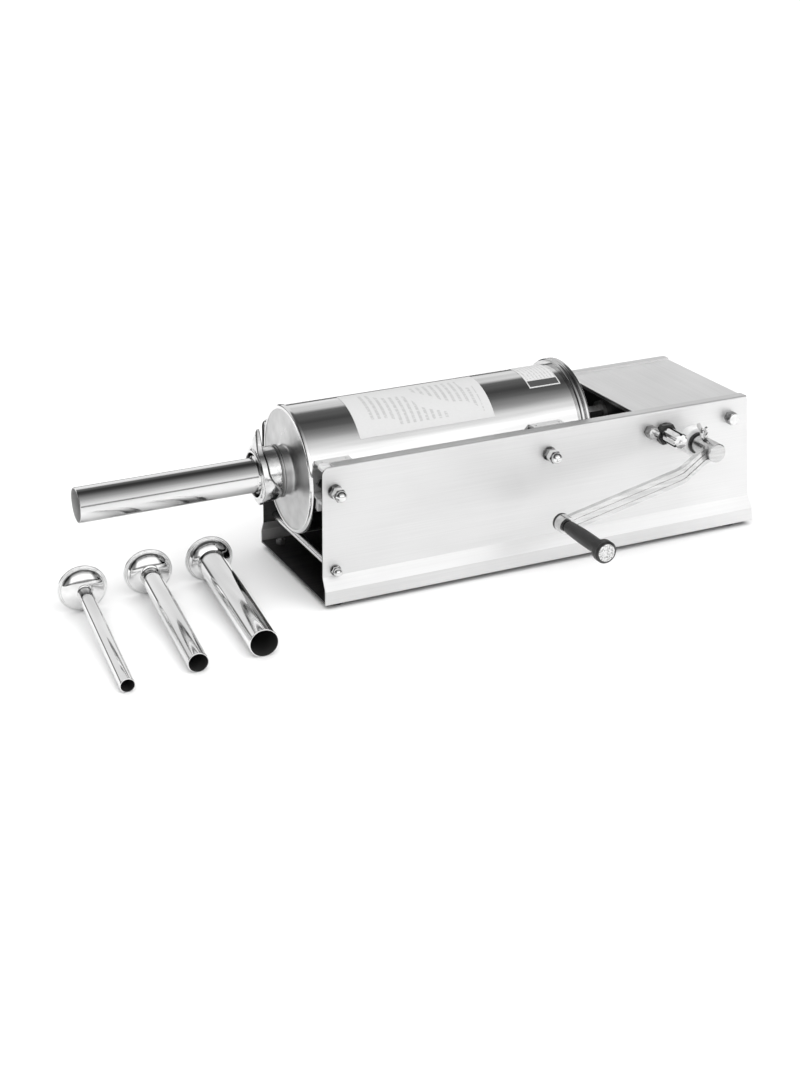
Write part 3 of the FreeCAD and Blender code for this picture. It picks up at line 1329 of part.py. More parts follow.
def crank_arm():
    """The flat arm with its outward step, two grooves along its face and the eye at its end."""
    body = new_body("crank_arm")
    spine = new_sketch(body, "arm_path", "XY_Plane")
    start = Vector(size("-HubRadius + 4"), size(out("ArmRoot")), 0)
    bend_in = Vector(-size("ArmBendStart"), start.y, 0)
    bend_out = Vector(-size("ArmBendEnd"), start.y - size("ArmOffset"), 0)
    end = Vector(-size("ArmLength"), bend_out.y, 0)
    runs = rounded_path([start, bend_in, bend_out, end], size("ArmBendRadius"))
    for number, edge in enumerate(runs):
        spine.addGeometry(edge, False)
        spine.addConstraint(Sketcher.Constraint("Block", number))
    profile = new_sketch(body, "arm_section", "YZ_Plane", "-HubRadius + 4")
    half, thick = "ArmWidth/2", "ArmThick/2"
    face = out(f"ArmRoot + {thick}")
    back = out(f"ArmRoot - {thick}")
    groove = out(f"ArmRoot + {thick} - 0.7")
    points = [(back, f"-({half})"), (face, f"-({half})")]
    for place_z in ("-ArmWidth*0.2", "ArmWidth*0.2"):
        points += [(face, f"{place_z} - 0.8"), (groove, f"{place_z} - 0.4"),
                   (groove, f"{place_z} + 0.4"), (face, f"{place_z} + 0.8")]
    points += [(face, half), (back, half)]
    draw_outline(profile, points)
    pipe = body.newObject("PartDesign::AdditivePipe", "arm_bar")
    pipe.Profile = profile
    pipe.Spine = (spine, [f"Edge{i + 1}" for i in range(len(runs))])
    doc.recompute()
    eye = new_sketch(body, "arm_eye_outline", "XZ_Plane", arm_out(-1))
    draw_circle(eye, "-ArmLength", 0, "EyeRadius")
    pad(body, "arm_eye", eye, "ArmThick + 6")
    doc.recompute()
    hole = new_sketch(body, "arm_eye_hole_outline", "XZ_Plane")
    draw_circle(hole, "-ArmLength", 0, "SpindleRadius")
    pocket_through(body, "arm_eye_hole", hole)
    bore = new_sketch(body, "arm_hub_hole_outline", "XZ_Plane")
    draw_circle(bore, 0, 0, "HubRadius")
    pocket_through(body, "arm_hub_hole", bore)
    finish(on_crank(body), "crank_arm")


def arm_out(step):
    """Distance from the middle plane of the arm's far run, moved out by a step."""
    return f"HalfWidth + ArmRoot + ArmOffset + ({step}) * (ArmThick/2 + EyeOver)"


def rounded_path(corners, radius):
    """Lines through the corners, with tangent arcs of one radius between them."""
    edges = []
    here = corners[0]
    for before, corner, after in zip(corners, corners[1:], corners[2:]):
        inward = (before - corner).normalize()
        outward = (after - corner).normalize()
        half = inward.getAngle(outward) / 2
        reach = radius / math.tan(half)
        first, last = corner + inward * reach, corner + outward * reach
        bisector = (inward + outward).normalize()
        centre = corner + bisector * (radius / math.sin(half))
        middle = centre - bisector * radius
        edges.append(Part.LineSegment(here, first))
        edges.append(Part.Arc(first, middle, last))
        here = last
    edges.append(Part.LineSegment(here, corners[-1]))
    return edges


def crank_end():
    """The grip's spindle with the dark cap behind the arm, the grip and its end disc."""
    def at_end(item):
        turned = FreeCAD.Rotation(Vector(0, 1, 0), -size("CrankDrop"))
        centre = turned.multVec(Vector(-size("ArmLength"), 0, 0))
        place(item, along(f"CrankX + ({centre.x})"), "MidY", up(f"CrankHeight + ({centre.z})"))
        return item

    face = "ArmRoot + ArmOffset + ArmThick/2 + EyeOver"
    back = "ArmRoot + ArmOffset - ArmThick/2 - EyeOver"

    def turned(node, points):
        body = new_body(node)
        section = new_sketch(body, f"{node}_section", "YZ_Plane")
        draw_outline(section, points)
        revolve(body, f"{node}_turning", section)
        finish(at_end(body), node)

    tip = f"{face} + 1 + GripLength"
    turned("grip_spindle", [
        (out(back), 0), (out(back), "SpindleRadius"),
        (out(f"{tip} - HeadBack"), "SpindleRadius"),
        (out(f"{tip} - HeadBack"), "SpindleRadius + SpindleHead"),
        (out(f"{tip} - HeadFront"), "SpindleRadius + SpindleHead"), (out(f"{tip} - HeadFront"), 0),
    ])
    turned("arm_back_cap", [
        (out(f"{back} - BackCap"), 0), (out(f"{back} - BackCap"), "EyeRadius - 1.6"),
        (out(f"{back} - BackCap + 1"), "EyeRadius"), (out(back), "EyeRadius"),
        (out(back), 0),
    ])
    bore = "SpindleRadius + ThreadGap"
    wide_bore = "SpindleRadius + SpindleHead + ThreadGap"
    deep = f"{tip} - HeadBack - 0.4"
    grip = turned_solid("grip", [
        (out(f"{face} + 1"), bore), (out(deep), bore),
        (out(deep), wide_bore), (out(f"{tip} - DiscDeep"), wide_bore),
        (out(f"{tip} - DiscDeep"), "GripDisc"), (out(tip), "GripDisc"),
        (out(tip), "GripFlange - FlangeRound"), (out(f"{tip} - FlangeRound"), "GripFlange"),
        (out(f"{tip} - FlangeLong"), "GripFlange"),
        (out(f"{tip} - FlangeLong - 2"), "GripRadius + 0.4"),
        (out(f"{face} + 4"), "GripRadius - 0.2", out(f"{face} + GripLength*0.45"),
         "GripRadius + 0.9"),
        (out(f"{face} + 1"), "GripRadius - 1"),
    ], "+Y")
    finish(at_end(grip), "grip")
    turned("grip_end_disc", [
        (out(f"{tip} - DiscDeep"), 0), (out(f"{tip} - DiscDeep"), "GripDisc"),
        (out(f"{tip} + 0.2"), "GripDisc"), (out(f"{tip} + 0.8"), "GripDisc - 1.2"),
        (out(f"{tip} + 0.8"), 0),
    ])


def thumb_screw():
    """The wing screw on top of the hub, drawn upright and turned with the crank."""
    body = new_body("thumb_screw")
    section = new_sketch(body, "screw_section", "XZ_Plane", "HalfWidth + ScrewOut")
    draw_outline(section, [
        (0, "CrankShaftRadius + HoleGap"), ("ScrewRadius", "CrankShaftRadius + HoleGap"),
        ("ScrewRadius", "HubRadius + HeadLow"), ("ScrewHead", "HubRadius + HeadLow"),
        ("ScrewHead", "HubRadius + HeadHigh - 2"), ("ScrewHead - 1.2", "HubRadius + HeadHigh"),
        (0, "HubRadius + HeadHigh"),
    ])
    revolve(body, "screw_turning", section, "V_Axis")
    wing = new_sketch(body, "wing_outline", "YZ_Plane")
    draw_outline(wing, [
        (out("ScrewOut + 3"), "HubRadius + HeadLow + 1"), (out("ScrewOut - 3"), "HubRadius + HeadLow + 1"),
        (out("ScrewOut - WingWide"), "HubRadius + WingFoot"),
        (out("ScrewOut - WingWide + 1.5"), "HubRadius + WingTop",
         out("ScrewOut - WingWide - 1.3"), "HubRadius + WingTop - 2.5"),
        (out("ScrewOut - 2.5"), "HubRadius + HeadHigh + 1"),
        (out("ScrewOut + 2.5"), "HubRadius + HeadHigh + 1"),
        (out("ScrewOut + WingWide - 1.5"), "HubRadius + WingTop"),
        (out("ScrewOut + WingWide"), "HubRadius + WingFoot",
         out("ScrewOut + WingWide + 1.3"), "HubRadius + WingTop - 2.5"),
    ])
    pad(body, "screw_wings", wing, "WingThick", midplane=True)
    finish(on_crank(body), "thumb_screw")


# ---------------------------------------------------------------- building and writing

def build():
    fill_sheet()
    frame_sheets()
    feet()
    for end, hand, x, side in bracket_places():
        bracket(end, hand, x, side)
    bracket_fasteners()
    tie_rod()
    case_fasteners()
    barrel()
    rear_rim()
    front_cap()
    outlet_neck()
    mounted_tube()
    loose_tube("small", "SmallRadius", "SmallX", "SmallY")
    loose_tube("medium", "MediumRadius", "MediumX", "MediumY")
    loose_tube("large", "LargeRadius", "LargeX", "LargeY")
    ring_nut()
    gear_train()
    rack_bar()
    rack_guides()
    shafts()
    bushes()
    retaining_rings()
    piston()
    crank_hub()
    crank_arm()
    crank_end()
    thumb_screw()
    doc.recompute()


def check():
    failed = [item.Name for item in doc.Objects
              if "Invalid" in item.State or "Error" in item.State]
    bad = [item.Label for item in subparts
           if item.Shape.isNull() or not item.Shape.isValid() or not item.Shape.Solids]
    if failed or bad:
        raise RuntimeError(f"failed: {failed}; bad shapes: {bad}")


def write():
    os.makedirs("parts", exist_ok=True)
    for item in subparts:
        item.Shape.exportStep(f"parts/{item.Label}.step")
    print(len(subparts), "sub-parts written")


build()
check()
write()
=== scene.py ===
"""A horizontal sausage stuffer in a plain studio: finishes and fine shapes around its CAD frame."""
import math

import bmesh
import bpy
from mathutils import Matrix, Vector


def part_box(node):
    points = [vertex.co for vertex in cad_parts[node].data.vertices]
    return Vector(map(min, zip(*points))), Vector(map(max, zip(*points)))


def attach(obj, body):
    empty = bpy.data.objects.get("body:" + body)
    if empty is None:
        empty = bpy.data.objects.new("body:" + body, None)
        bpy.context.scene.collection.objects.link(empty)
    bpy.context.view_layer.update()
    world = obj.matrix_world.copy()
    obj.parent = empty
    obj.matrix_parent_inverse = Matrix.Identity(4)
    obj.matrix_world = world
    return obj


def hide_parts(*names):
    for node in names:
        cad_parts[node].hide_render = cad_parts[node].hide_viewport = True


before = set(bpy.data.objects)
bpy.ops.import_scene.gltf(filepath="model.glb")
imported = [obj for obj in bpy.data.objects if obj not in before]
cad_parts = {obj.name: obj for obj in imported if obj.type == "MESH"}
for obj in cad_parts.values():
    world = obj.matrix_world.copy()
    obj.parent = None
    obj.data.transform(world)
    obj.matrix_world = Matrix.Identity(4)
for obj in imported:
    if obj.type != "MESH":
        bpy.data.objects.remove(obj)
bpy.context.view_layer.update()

MM = 0.001                                # all sizes and places are in metres

# Places read from the frame. The cylinder's axis runs along X.
barrel_low, barrel_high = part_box("cylinder_barrel")
neck_low, neck_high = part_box("outlet_neck")
tube_low, tube_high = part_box("stuffing_tube_mounted")
plate_low, plate_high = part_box("side_plate_near")
MIDDLE_Y = (neck_low.y + neck_high.y) / 2
AXIS_Z = (neck_low.z + neck_high.z) / 2
BARREL_FRONT = barrel_low.x
BARREL_REAR = barrel_high.x
BARREL_RADIUS = barrel_high.z - AXIS_Z
RIM_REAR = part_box("cylinder_rear_rim")[1].x
CAP_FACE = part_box("cylinder_front_cap")[0].x
NECK_END = neck_low.x
TUBE_RIM_X = tube_high.x
TUBE_TIP = tube_low.x
NUT_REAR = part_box("ring_nut")[1].x

# Side plates
UNDER_LIP = plate_high.z - 2.5 * MM       # a little under the lip along the top
SKIRT_BAND = (plate_low.z + 15 * MM, plate_low.z + 29 * MM)    # heights where the plates lean out
INSIDE_REACH = 89.5 * MM                  # from the middle plane to within the plates' thickness

# Cylinder
BARREL_WALL = 1.2 * MM
RIM_WIDTH = 12.3 * MM
BEAD_RADIUS = 2.8 * MM
BEAD_SEAT = 72.7 * MM                     # radius that the beads of the rim stand on
BEAD_PLACES = (RIM_REAR - 8.7 * MM, RIM_REAR - BEAD_RADIUS)
CAP_RADIUS = 71 * MM
CAP_DISH = 0.9 * MM                       # how deep the cap's face lies behind its edge
NECK_BORE = 18 * MM
NECK_FOOT = 30 * MM
NECK_RADIUS = 26.8 * MM
STEP_RADIUS = 29 * MM                     # the two fine steps round the neck
STEP_WIDTH = 1.5 * MM
STEP_PLACES = (CAP_FACE - 9.3 * MM, CAP_FACE - 11.7 * MM)

# Stuffing tubes
TUBE_LENGTH = TUBE_RIM_X - TUBE_TIP
TUBE_WALL = 1 * MM
MOUNTED_RADIUS = 19 * MM
DISC_RADIUS = 26.7 * MM                   # the rim of a tube
DISC_THICK = 2.5 * MM
DOME_RADIUS = 23.6 * MM
DOME_LENGTH = 11 * MM
DOME_SWELL = 0.24                         # how far the dome bulges over a straight cone
LOOSE_TURN = 3.5                          # degrees from square to the machine
LOOSE_TUBES = {                           # outer radius, rim x, rim y
    "small": (8 * MM, -0.3684, 0.0896),
    "medium": (11 * MM, -0.2928, 0.1004),
    "large": (15.5 * MM, -0.2220, 0.1044),
}

# Ring nut: each lug or lobe as its angle from straight up, half its width (degrees) and its height
NUT_FRONT = NUT_REAR - 24 * MM
NUT_BORE = 23.9 * MM
NUT_THREAD = 27.4 * MM
NUT_BODY = 28.6 * MM
NUT_FLANGE = 30 * MM
NUT_MOUTH = 28.5 * MM                     # where the front face passes into the flange
UPPER_LUG = (356, 36, 19.8 * MM)
LOWER_LUG = (184, 30, 6.8 * MM)
SIDE_LOBE = (122, 58, 2.2 * MM)

# Labels: from x, to x, and the two angles from the top of the barrel
LARGE_LABEL = (-0.0755, 0.0845, -6, 53.5)
SMALL_LABEL = (0.138, 0.1765, -12, 31)
LABEL_CELLS = 24
LABEL_SUNK = 0.05 * MM
LABEL_PROUD = 0.25 * MM

# Camera: angles in degrees, lens and sensor width in millimetres
CAMERA_PLACE = (-0.7895, -1.6983, 0.8224)
CAMERA_YAW = 23.9
CAMERA_PITCH = 21.0
CAMERA_ROLL = -1.2
CAMERA_LENS = 83.6
CAMERA_SENSOR = 36
CAMERA_SHIFT = -0.053

# Studio
FLOOR_REACH = 150
SUN_STRENGTH = 2.75
SUN_SPREAD = 90                           # degrees
SUN_TILT = 12
SKY = (                  # angle round the X axis, 0 the horizon behind and 1 in front; brightness
    (0.0, 0.12), (0.045, 0.12), (0.075, 0.95), (0.17, 0.90), (0.245, 0.85), (0.29, 0.16),
    (0.43, 0.07), (0.52, 0.15), (0.62, 0.5), (0.72, 1.0), (0.80, 1.6), (0.94, 1.6),
    (0.965, 0.4), (1.0, 0.2),
)
SKY_PEAK = 1.6
SIDES_FROM, SIDES_TO, SIDES_LEVEL = 0.55, 0.80, 0.2    # the sky is dim to the left and the right


# ---------------------------------------------------------------- materials

def grey(value):
    return (value, value, value)


class Finish:
    """A material under construction: its node tree and its shader."""

    def __init__(self, name):
        self.material = bpy.data.materials.new(name)
        self.material.use_nodes = True
        self.nodes = self.material.node_tree.nodes
        self.shader = self.nodes["Principled BSDF"]

    def link(self, output, target):
        self.material.node_tree.links.new(output, target)

    def feed(self, value, socket):
        """Set a socket to a number, or link an output to it."""
        if isinstance(value, (int, float)):
            socket.default_value = value
        else:
            self.link(value, socket)

    def noise(self, stretch, detail=2.0, source="Object"):
        """Noise whose features are 1/stretch of a metre long in each direction."""
        where = self.nodes.new("ShaderNodeTexCoord")
        mapping = self.nodes.new("ShaderNodeMapping")
        mapping.inputs["Scale"].default_value = stretch
        noise = self.nodes.new("ShaderNodeTexNoise")
        noise.inputs["Scale"].default_value = 1.0
        noise.inputs["Detail"].default_value = detail
        self.link(where.outputs[source], mapping.inputs["Vector"])
        self.link(mapping.outputs["Vector"], noise.inputs["Vector"])
        return noise.outputs["Fac"]

    def axis(self, name, source="Object"):
        """One coordinate, in metres for Object."""
        where = self.nodes.new("ShaderNodeTexCoord")
        split = self.nodes.new("ShaderNodeSeparateXYZ")
        self.link(where.outputs[source], split.inputs["Vector"])
        return split.outputs[name]

    def spread(self, factor, low, high, start=0.3, stop=0.7):
        """A factor's part from start to stop, stretched to low to high. Noise fills 0.3 to 0.7."""
        node = self.nodes.new("ShaderNodeMapRange")
        node.inputs["From Min"].default_value = start
        node.inputs["From Max"].default_value = stop
        node.inputs["To Min"].default_value = low
        node.inputs["To Max"].default_value = high
        self.link(factor, node.inputs["Value"])
        return node.outputs["Result"]

    def math(self, operation, first, second=0.0):
        node = self.nodes.new("ShaderNodeMath")
        node.operation = operation
        self.feed(first, node.inputs[0])
        self.feed(second, node.inputs[1])
        return node.outputs["Value"]

    def times(self, first, second):
        return self.math("MULTIPLY", first, second)

    def shares(self, first, second, share):
        """A share of one factor and the rest of another."""
        return self.math("ADD", self.times(first, share), self.times(second, 1 - share))

    def between(self, value, low, high):
        """1 where a value lies between two limits, 0 elsewhere."""
        return self.times(self.math("GREATER_THAN", value, low),
                          self.math("LESS_THAN", value, high))

    def mix(self, factor, first, second):
        """A colour between two colours, each given as a triple or as an output."""
        node = self.nodes.new("ShaderNodeMix")
        node.data_type = "RGBA"
        self.feed(factor, node.inputs["Factor"])
        for name, value in (("A", first), ("B", second)):
            socket = [each for each in node.inputs if each.name == name and each.type == "RGBA"][0]
            if isinstance(value, tuple):
                socket.default_value = (*value, 1)
            else:
                self.link(value, socket)
        return [each for each in node.outputs if each.type == "RGBA"][0]

    def tones(self, factor, dark, light):
        """A grey that runs from dark to light with a noise."""
        return self.mix(self.spread(factor, 0.0, 1.0), grey(dark), grey(light))

    def painted_crevice_shade(self, reach):
        """0 in corners and narrow gaps, 1 on open surfaces: the mask for painted shade in crevices.
        """
        node = self.nodes.new("ShaderNodeAmbientOcclusion")
        node.inputs["Distance"].default_value = reach
        node.samples = 8
        return self.spread(node.outputs["AO"], 0.0, 1.0, 0.35, 0.92)

    def colour(self, value):
        self.link(value, self.shader.inputs["Base Color"])

    def roughness(self, value):
        self.link(value, self.shader.inputs["Roughness"])

    def metallic(self, value):
        self.shader.inputs["Metallic"].default_value = value

    def bump(self, height, depth, strength=1.0):
        node = self.nodes.new("ShaderNodeBump")
        node.inputs["Distance"].default_value = depth
        node.inputs["Strength"].default_value = strength
        self.link(height, node.inputs["Height"])
        self.link(node.outputs["Normal"], self.shader.inputs["Normal"])


def metal(name, tones, rough, grain, clouds=(6, 6, 6), bump=0.0, crevice_shade_reach=0.0, metallic=1.0):
    """Bare metal: fine grain, slower clouds in its colour and gloss, and painted shade, dark, in its
    crevices.

    tones are its darkest and lightest grey, rough its least and most roughness.
    """
    finish = Finish(name)
    fine = finish.noise(grain)
    both = finish.shares(fine, finish.noise(clouds), 0.6)
    steel = finish.tones(both, *tones)
    if crevice_shade_reach:
        # painted shade: corners and narrow gaps are pulled towards near black
        steel = finish.mix(finish.painted_crevice_shade(crevice_shade_reach), grey(0.05), steel)
    finish.colour(steel)
    finish.roughness(finish.spread(both, rough[1], rough[0]))
    finish.metallic(metallic)
    if bump:
        finish.bump(fine, bump)
    return finish


def sheet_finish(name, shaded_inside_y):
    """Brushed sheet with painted light: painted shade makes it darker towards the front and brighter
    to the rear, a painted highlight lies on the band that leans out, a little painted shade lies
    below that band, and painted shade makes it dull and dark where it faces the inside of the frame.
    """
    finish = Finish(name)
    both = finish.shares(finish.noise((8, 700, 700)), finish.noise((9, 9, 14)), 0.5)
    # painted shade: the sheet darkens towards the front and brightens to the rear
    front = finish.tones(both, 0.66, 0.72)
    rear = finish.tones(both, 0.75, 0.81)
    bright = finish.mix(finish.spread(finish.axis("X"), 0.0, 1.0, -0.13, 0.38), front, rear)
    z = finish.axis("Z")
    # painted highlight: the band where the plates lean out is mixed towards white
    painted_skirt_highlight = finish.times(finish.between(z, *SKIRT_BAND), 0.3)
    bright = finish.mix(painted_skirt_highlight, bright, grey(1.0))
    # painted shade: the foot of the plate below the skirt is pulled slightly towards black
    painted_foot_shade = finish.times(finish.math("LESS_THAN", z, SKIRT_BAND[0]), 0.05)
    bright = finish.mix(painted_foot_shade, bright, grey(0.0))
    # painted shade: faces towards the inside of the frame, under the lip, are painted near black
    inside = finish.times(finish.between(finish.axis("Y"), *shaded_inside_y),
                          finish.math("LESS_THAN", z, UNDER_LIP))
    finish.colour(finish.mix(inside, bright, finish.tones(both, 0.05, 0.09)))
    finish.roughness(finish.math("ADD", finish.spread(both, 0.50, 0.40),
                                 finish.times(inside, 0.2)))
    finish.metallic(0.85)
    return finish


def plastic(name, tones, rough, grain, bump):
    """Moulded plastic or rubber with a fine grain in its colour, gloss and surface."""
    finish = Finish(name)
    fine = finish.noise(grain, 3.0)
    finish.colour(finish.tones(fine, *tones))
    finish.roughness(finish.spread(fine, rough - 0.06, rough + 0.06))
    finish.bump(fine, bump)
    return finish


def printed_rows(finish, count, space, patches, gaps):
    """1 on bars across a label where print would be, broken into runs, 0 between them."""
    place = finish.math("FRACT", finish.times(finish.axis("X", "UV"), count))
    row = finish.math("GREATER_THAN", place, space)
    broken = finish.math("GREATER_THAN", finish.noise(patches, 1.0, "UV"), gaps)
    return finish.times(row, broken)


def paper_finish():
    """White label paper with faint grey bars in blocks where print would be."""
    finish = Finish("label_paper")
    rows = printed_rows(finish, 21.0, 0.55, (21, 60, 1), 0.42)
    block = finish.math("GREATER_THAN", finish.noise((3.1, 1.7, 1), 0.0, "UV"), 0.41)
    margins = finish.times(finish.between(finish.axis("Y", "UV"), 0.12, 0.86),
                           finish.between(finish.axis("X", "UV"), 0.1, 0.94))
    ink = finish.times(rows, finish.times(block, margins))
    fibre = finish.mix(finish.noise((40, 40, 1), 4.0, "UV"), grey(0.53), grey(0.58))
    finish.colour(finish.mix(finish.times(ink, 0.6), fibre, grey(0.35)))
    finish.roughness(finish.spread(finish.noise((90, 90, 1), 2.0, "UV"), 0.45, 0.6))
    return finish


def small_label_finish():
    """A small label: rows on white above a dark band with a light frame."""
    finish = Finish("label_small")
    u = finish.axis("X", "UV")
    v = finish.axis("Y", "UV")
    rows = printed_rows(finish, 9.0, 0.6, (9, 30, 1), 0.45)
    fibre = finish.mix(finish.noise((30, 30, 1), 4.0, "UV"), grey(0.55), grey(0.63))
    paper = finish.mix(finish.times(rows, 0.45), fibre, grey(0.25))
    band = finish.math("LESS_THAN", v, 0.24)
    core = finish.times(finish.between(v, 0.03, 0.21), finish.between(u, 0.03, 0.97))
    framed = finish.mix(core, grey(0.56), grey(0.06))
    finish.colour(finish.mix(band, paper, framed))
    finish.roughness(finish.spread(finish.noise((60, 60, 1), 2.0, "UV"), 0.35, 0.5))
    return finish


def speckled_finish():
    """The bright disc in the grip's end, with small dark pits."""
    finish = Finish("speckled_disc")
    where = finish.nodes.new("ShaderNodeTexCoord")
    cells = finish.nodes.new("ShaderNodeTexVoronoi")
    cells.inputs["Scale"].default_value = 620.0
    finish.link(where.outputs["Object"], cells.inputs["Vector"])
    pits = finish.spread(cells.outputs["Distance"], 0.0, 1.0, 0.25, 0.5)
    finish.colour(finish.mix(pits, grey(0.25), grey(0.72)))
    finish.roughness(finish.spread(cells.outputs["Distance"], 0.5, 0.25, 0.1, 0.6))
    finish.bump(pits, 0.3 * MM, 0.6)
    finish.metallic(0.9)
    return finish


def ribbed_finish():
    """Black moulded plastic with fine rings and dots along the grip."""
    finish = Finish("ribbed_black")
    rings = finish.math("SINE", finish.times(finish.axis("Y"), 2900.0))
    dots = finish.noise((900, 500, 900), 1.0)
    finish.colour(finish.mix(finish.spread(dots, 0.0, 1.0, 0.45, 0.7), grey(0.008), grey(0.03)))
    finish.roughness(finish.spread(dots, 0.28, 0.42))
    finish.bump(finish.math("ADD", finish.times(rings, 0.5), dots), 0.5 * MM, 0.8)
    return finish


def chrome_with_painted_bands(name, bands):
    """Chrome with painted dark reflections in bands at set distances from the machine's middle plane,
    as (start, stop), and painted shade in its crevices.
    """
    finish = Finish(name)
    fine = finish.noise((160, 160, 160))
    away = finish.math("ABSOLUTE", finish.math("SUBTRACT", finish.axis("Y"), MIDDLE_Y))
    dark = 0.0
    # painted reflection: dark bands on the washers, lock nuts and grooves
    for start, stop in bands:
        dark = finish.math("MAXIMUM", dark, finish.between(away, start * MM, stop * MM))
    # painted shade: near black in corners and narrow gaps
    bright = finish.mix(finish.painted_crevice_shade(4 * MM), grey(0.05), finish.tones(fine, 0.66, 0.88))
    finish.colour(finish.mix(dark, bright, finish.tones(fine, 0.06, 0.34)))
    finish.roughness(finish.spread(fine, 0.14, 0.06))
    finish.metallic(1.0)
    return finish


def mounted_tube_finish():
    """Steel of the mounted tube, with painted dark reflections along a band on its upper side and
    underneath.
    """
    finish = Finish("mounted_tube_steel")
    streaks = finish.noise((3, 70, 70))
    height = finish.math("SUBTRACT", finish.axis("Z"), AXIS_Z)
    # painted reflection: darker underneath and in a band along the upper side, with the top edge left
    # bright
    painted_dark_under = finish.spread(height, 1.0, 0.0, -16 * MM, -3 * MM)
    painted_dark_upper = finish.times(finish.spread(height, 0.0, 1.0, 2 * MM, 9 * MM),
                         finish.spread(height, 1.0, 0.0, 16.5 * MM, 17.8 * MM))
    finish.colour(finish.mix(finish.math("MAXIMUM", painted_dark_under, painted_dark_upper),
                             finish.tones(streaks, 0.66, 0.88), finish.tones(streaks, 0.26, 0.42)))
    finish.roughness(finish.spread(streaks, 0.14, 0.07))
    finish.metallic(1.0)
    return finish


def tube_inside_finish():
    """Inside of the mounted tube: bare steel at its mouth, with painted shade that turns it near
    black further in.
    """
    finish = Finish("mounted_tube_inside")
    fine = finish.noise((90, 90, 90))
    # painted shade: near black deeper inside the tube
    painted_shade_deep = finish.spread(finish.axis("X"), 0.0, 1.0, TUBE_TIP, TUBE_TIP + 20 * MM)
    finish.colour(finish.mix(painted_shade_deep, finish.tones(fine, 0.34, 0.46), grey(0.02)))
    finish.roughness(finish.spread(fine, 0.55, 0.75))
    return finish


finishes = {
    "near_sheet": sheet_finish("near_sheet", (MIDDLE_Y - INSIDE_REACH, MIDDLE_Y - BARREL_RADIUS)),
    "far_sheet": sheet_finish("far_sheet", (MIDDLE_Y + BARREL_RADIUS, MIDDLE_Y + INSIDE_REACH)),
    # painted shade: the sheets inside the frame and gearbox are painted near black
    "shaded_inner_sheet": metal("shaded_inner_sheet", (0.05, 0.09), (0.4, 0.5), (8, 300, 300)),
    "cover_sheet": metal("cover_sheet", (0.82, 0.87), (0.32, 0.40), (500, 12, 500), (9, 9, 9)),
    "barrel": metal("barrel_steel", (0.50, 0.90), (0.06, 0.13), (3, 75, 75), (5, 30, 30)),
    "cap": metal("cap_steel", (0.42, 0.56), (0.26, 0.38), (400, 60, 60), (30, 14, 14)),
    "rim": metal("rim_steel", (0.42, 0.66), (0.08, 0.16), (60, 60, 60), (20, 20, 20)),
    "mounted_tube": mounted_tube_finish(),
    "mounted_bore": tube_inside_finish(),
    "loose_tube": metal("loose_tube_steel", (0.62, 0.90), (0.04, 0.10), (70, 4, 70), (26, 7, 26)),
    # painted shade: the insides of the barrel and the loose tubes are near-black plastic instead of
    # steel
    "bore": plastic("painted_shade_bore", (0.02, 0.035), 0.7, (80, 80, 80), 0.1 * MM),
    "bracket": metal("bracket_steel", (0.72, 0.80), (0.46, 0.56), (60, 60, 60), (30, 30, 30),
                     metallic=0.4),
    "chrome": metal("chrome", (0.66, 0.88), (0.05, 0.10), (240, 240, 240), (60, 60, 60),
                    crevice_shade_reach=6 * MM),
    "cast": metal("cast_chrome", (0.58, 0.84), (0.12, 0.22), (130, 130, 130), (45, 45, 45),
                  bump=0.3 * MM, crevice_shade_reach=7 * MM),
    "acorn": chrome_with_painted_bands("acorn_chrome", ((90, 98.5), (105.2, 108))),
    "small_acorn": chrome_with_painted_bands("small_acorn_chrome", ((90, 92.2), (95.4, 97.2))),
    "case_bolt": chrome_with_painted_bands("case_bolt_chrome", ((90, 100),)),
    "arm": metal("arm_steel", (0.50, 0.78), (0.16, 0.26), (26, 300, 300), (22, 22, 22)),
    "satin": metal("satin_steel", (0.52, 0.76), (0.16, 0.28), (40, 400, 400), (18, 18, 18),
                   crevice_shade_reach=5 * MM),
    "gear": metal("gear_steel", (0.22, 0.42), (0.3, 0.5), (120, 120, 120), (30, 30, 30)),
    "piston": metal("piston_metal", (0.5, 0.72), (0.25, 0.4), (90, 500, 500), (20, 20, 20)),
    "white_plastic": plastic("white_plastic", (0.72, 0.80), 0.35, (160, 160, 160), 0.1 * MM),
    "black_plastic": plastic("black_plastic", (0.008, 0.02), 0.3, (300, 300, 300), 0.1 * MM),
    "rubber": plastic("black_rubber", (0.015, 0.03), 0.6, (400, 400, 400), 0.2 * MM),
    "paper": paper_finish(),
    "small_label": small_label_finish(),
    "speckled": speckled_finish(),
    "ribbed": ribbed_finish(),
}

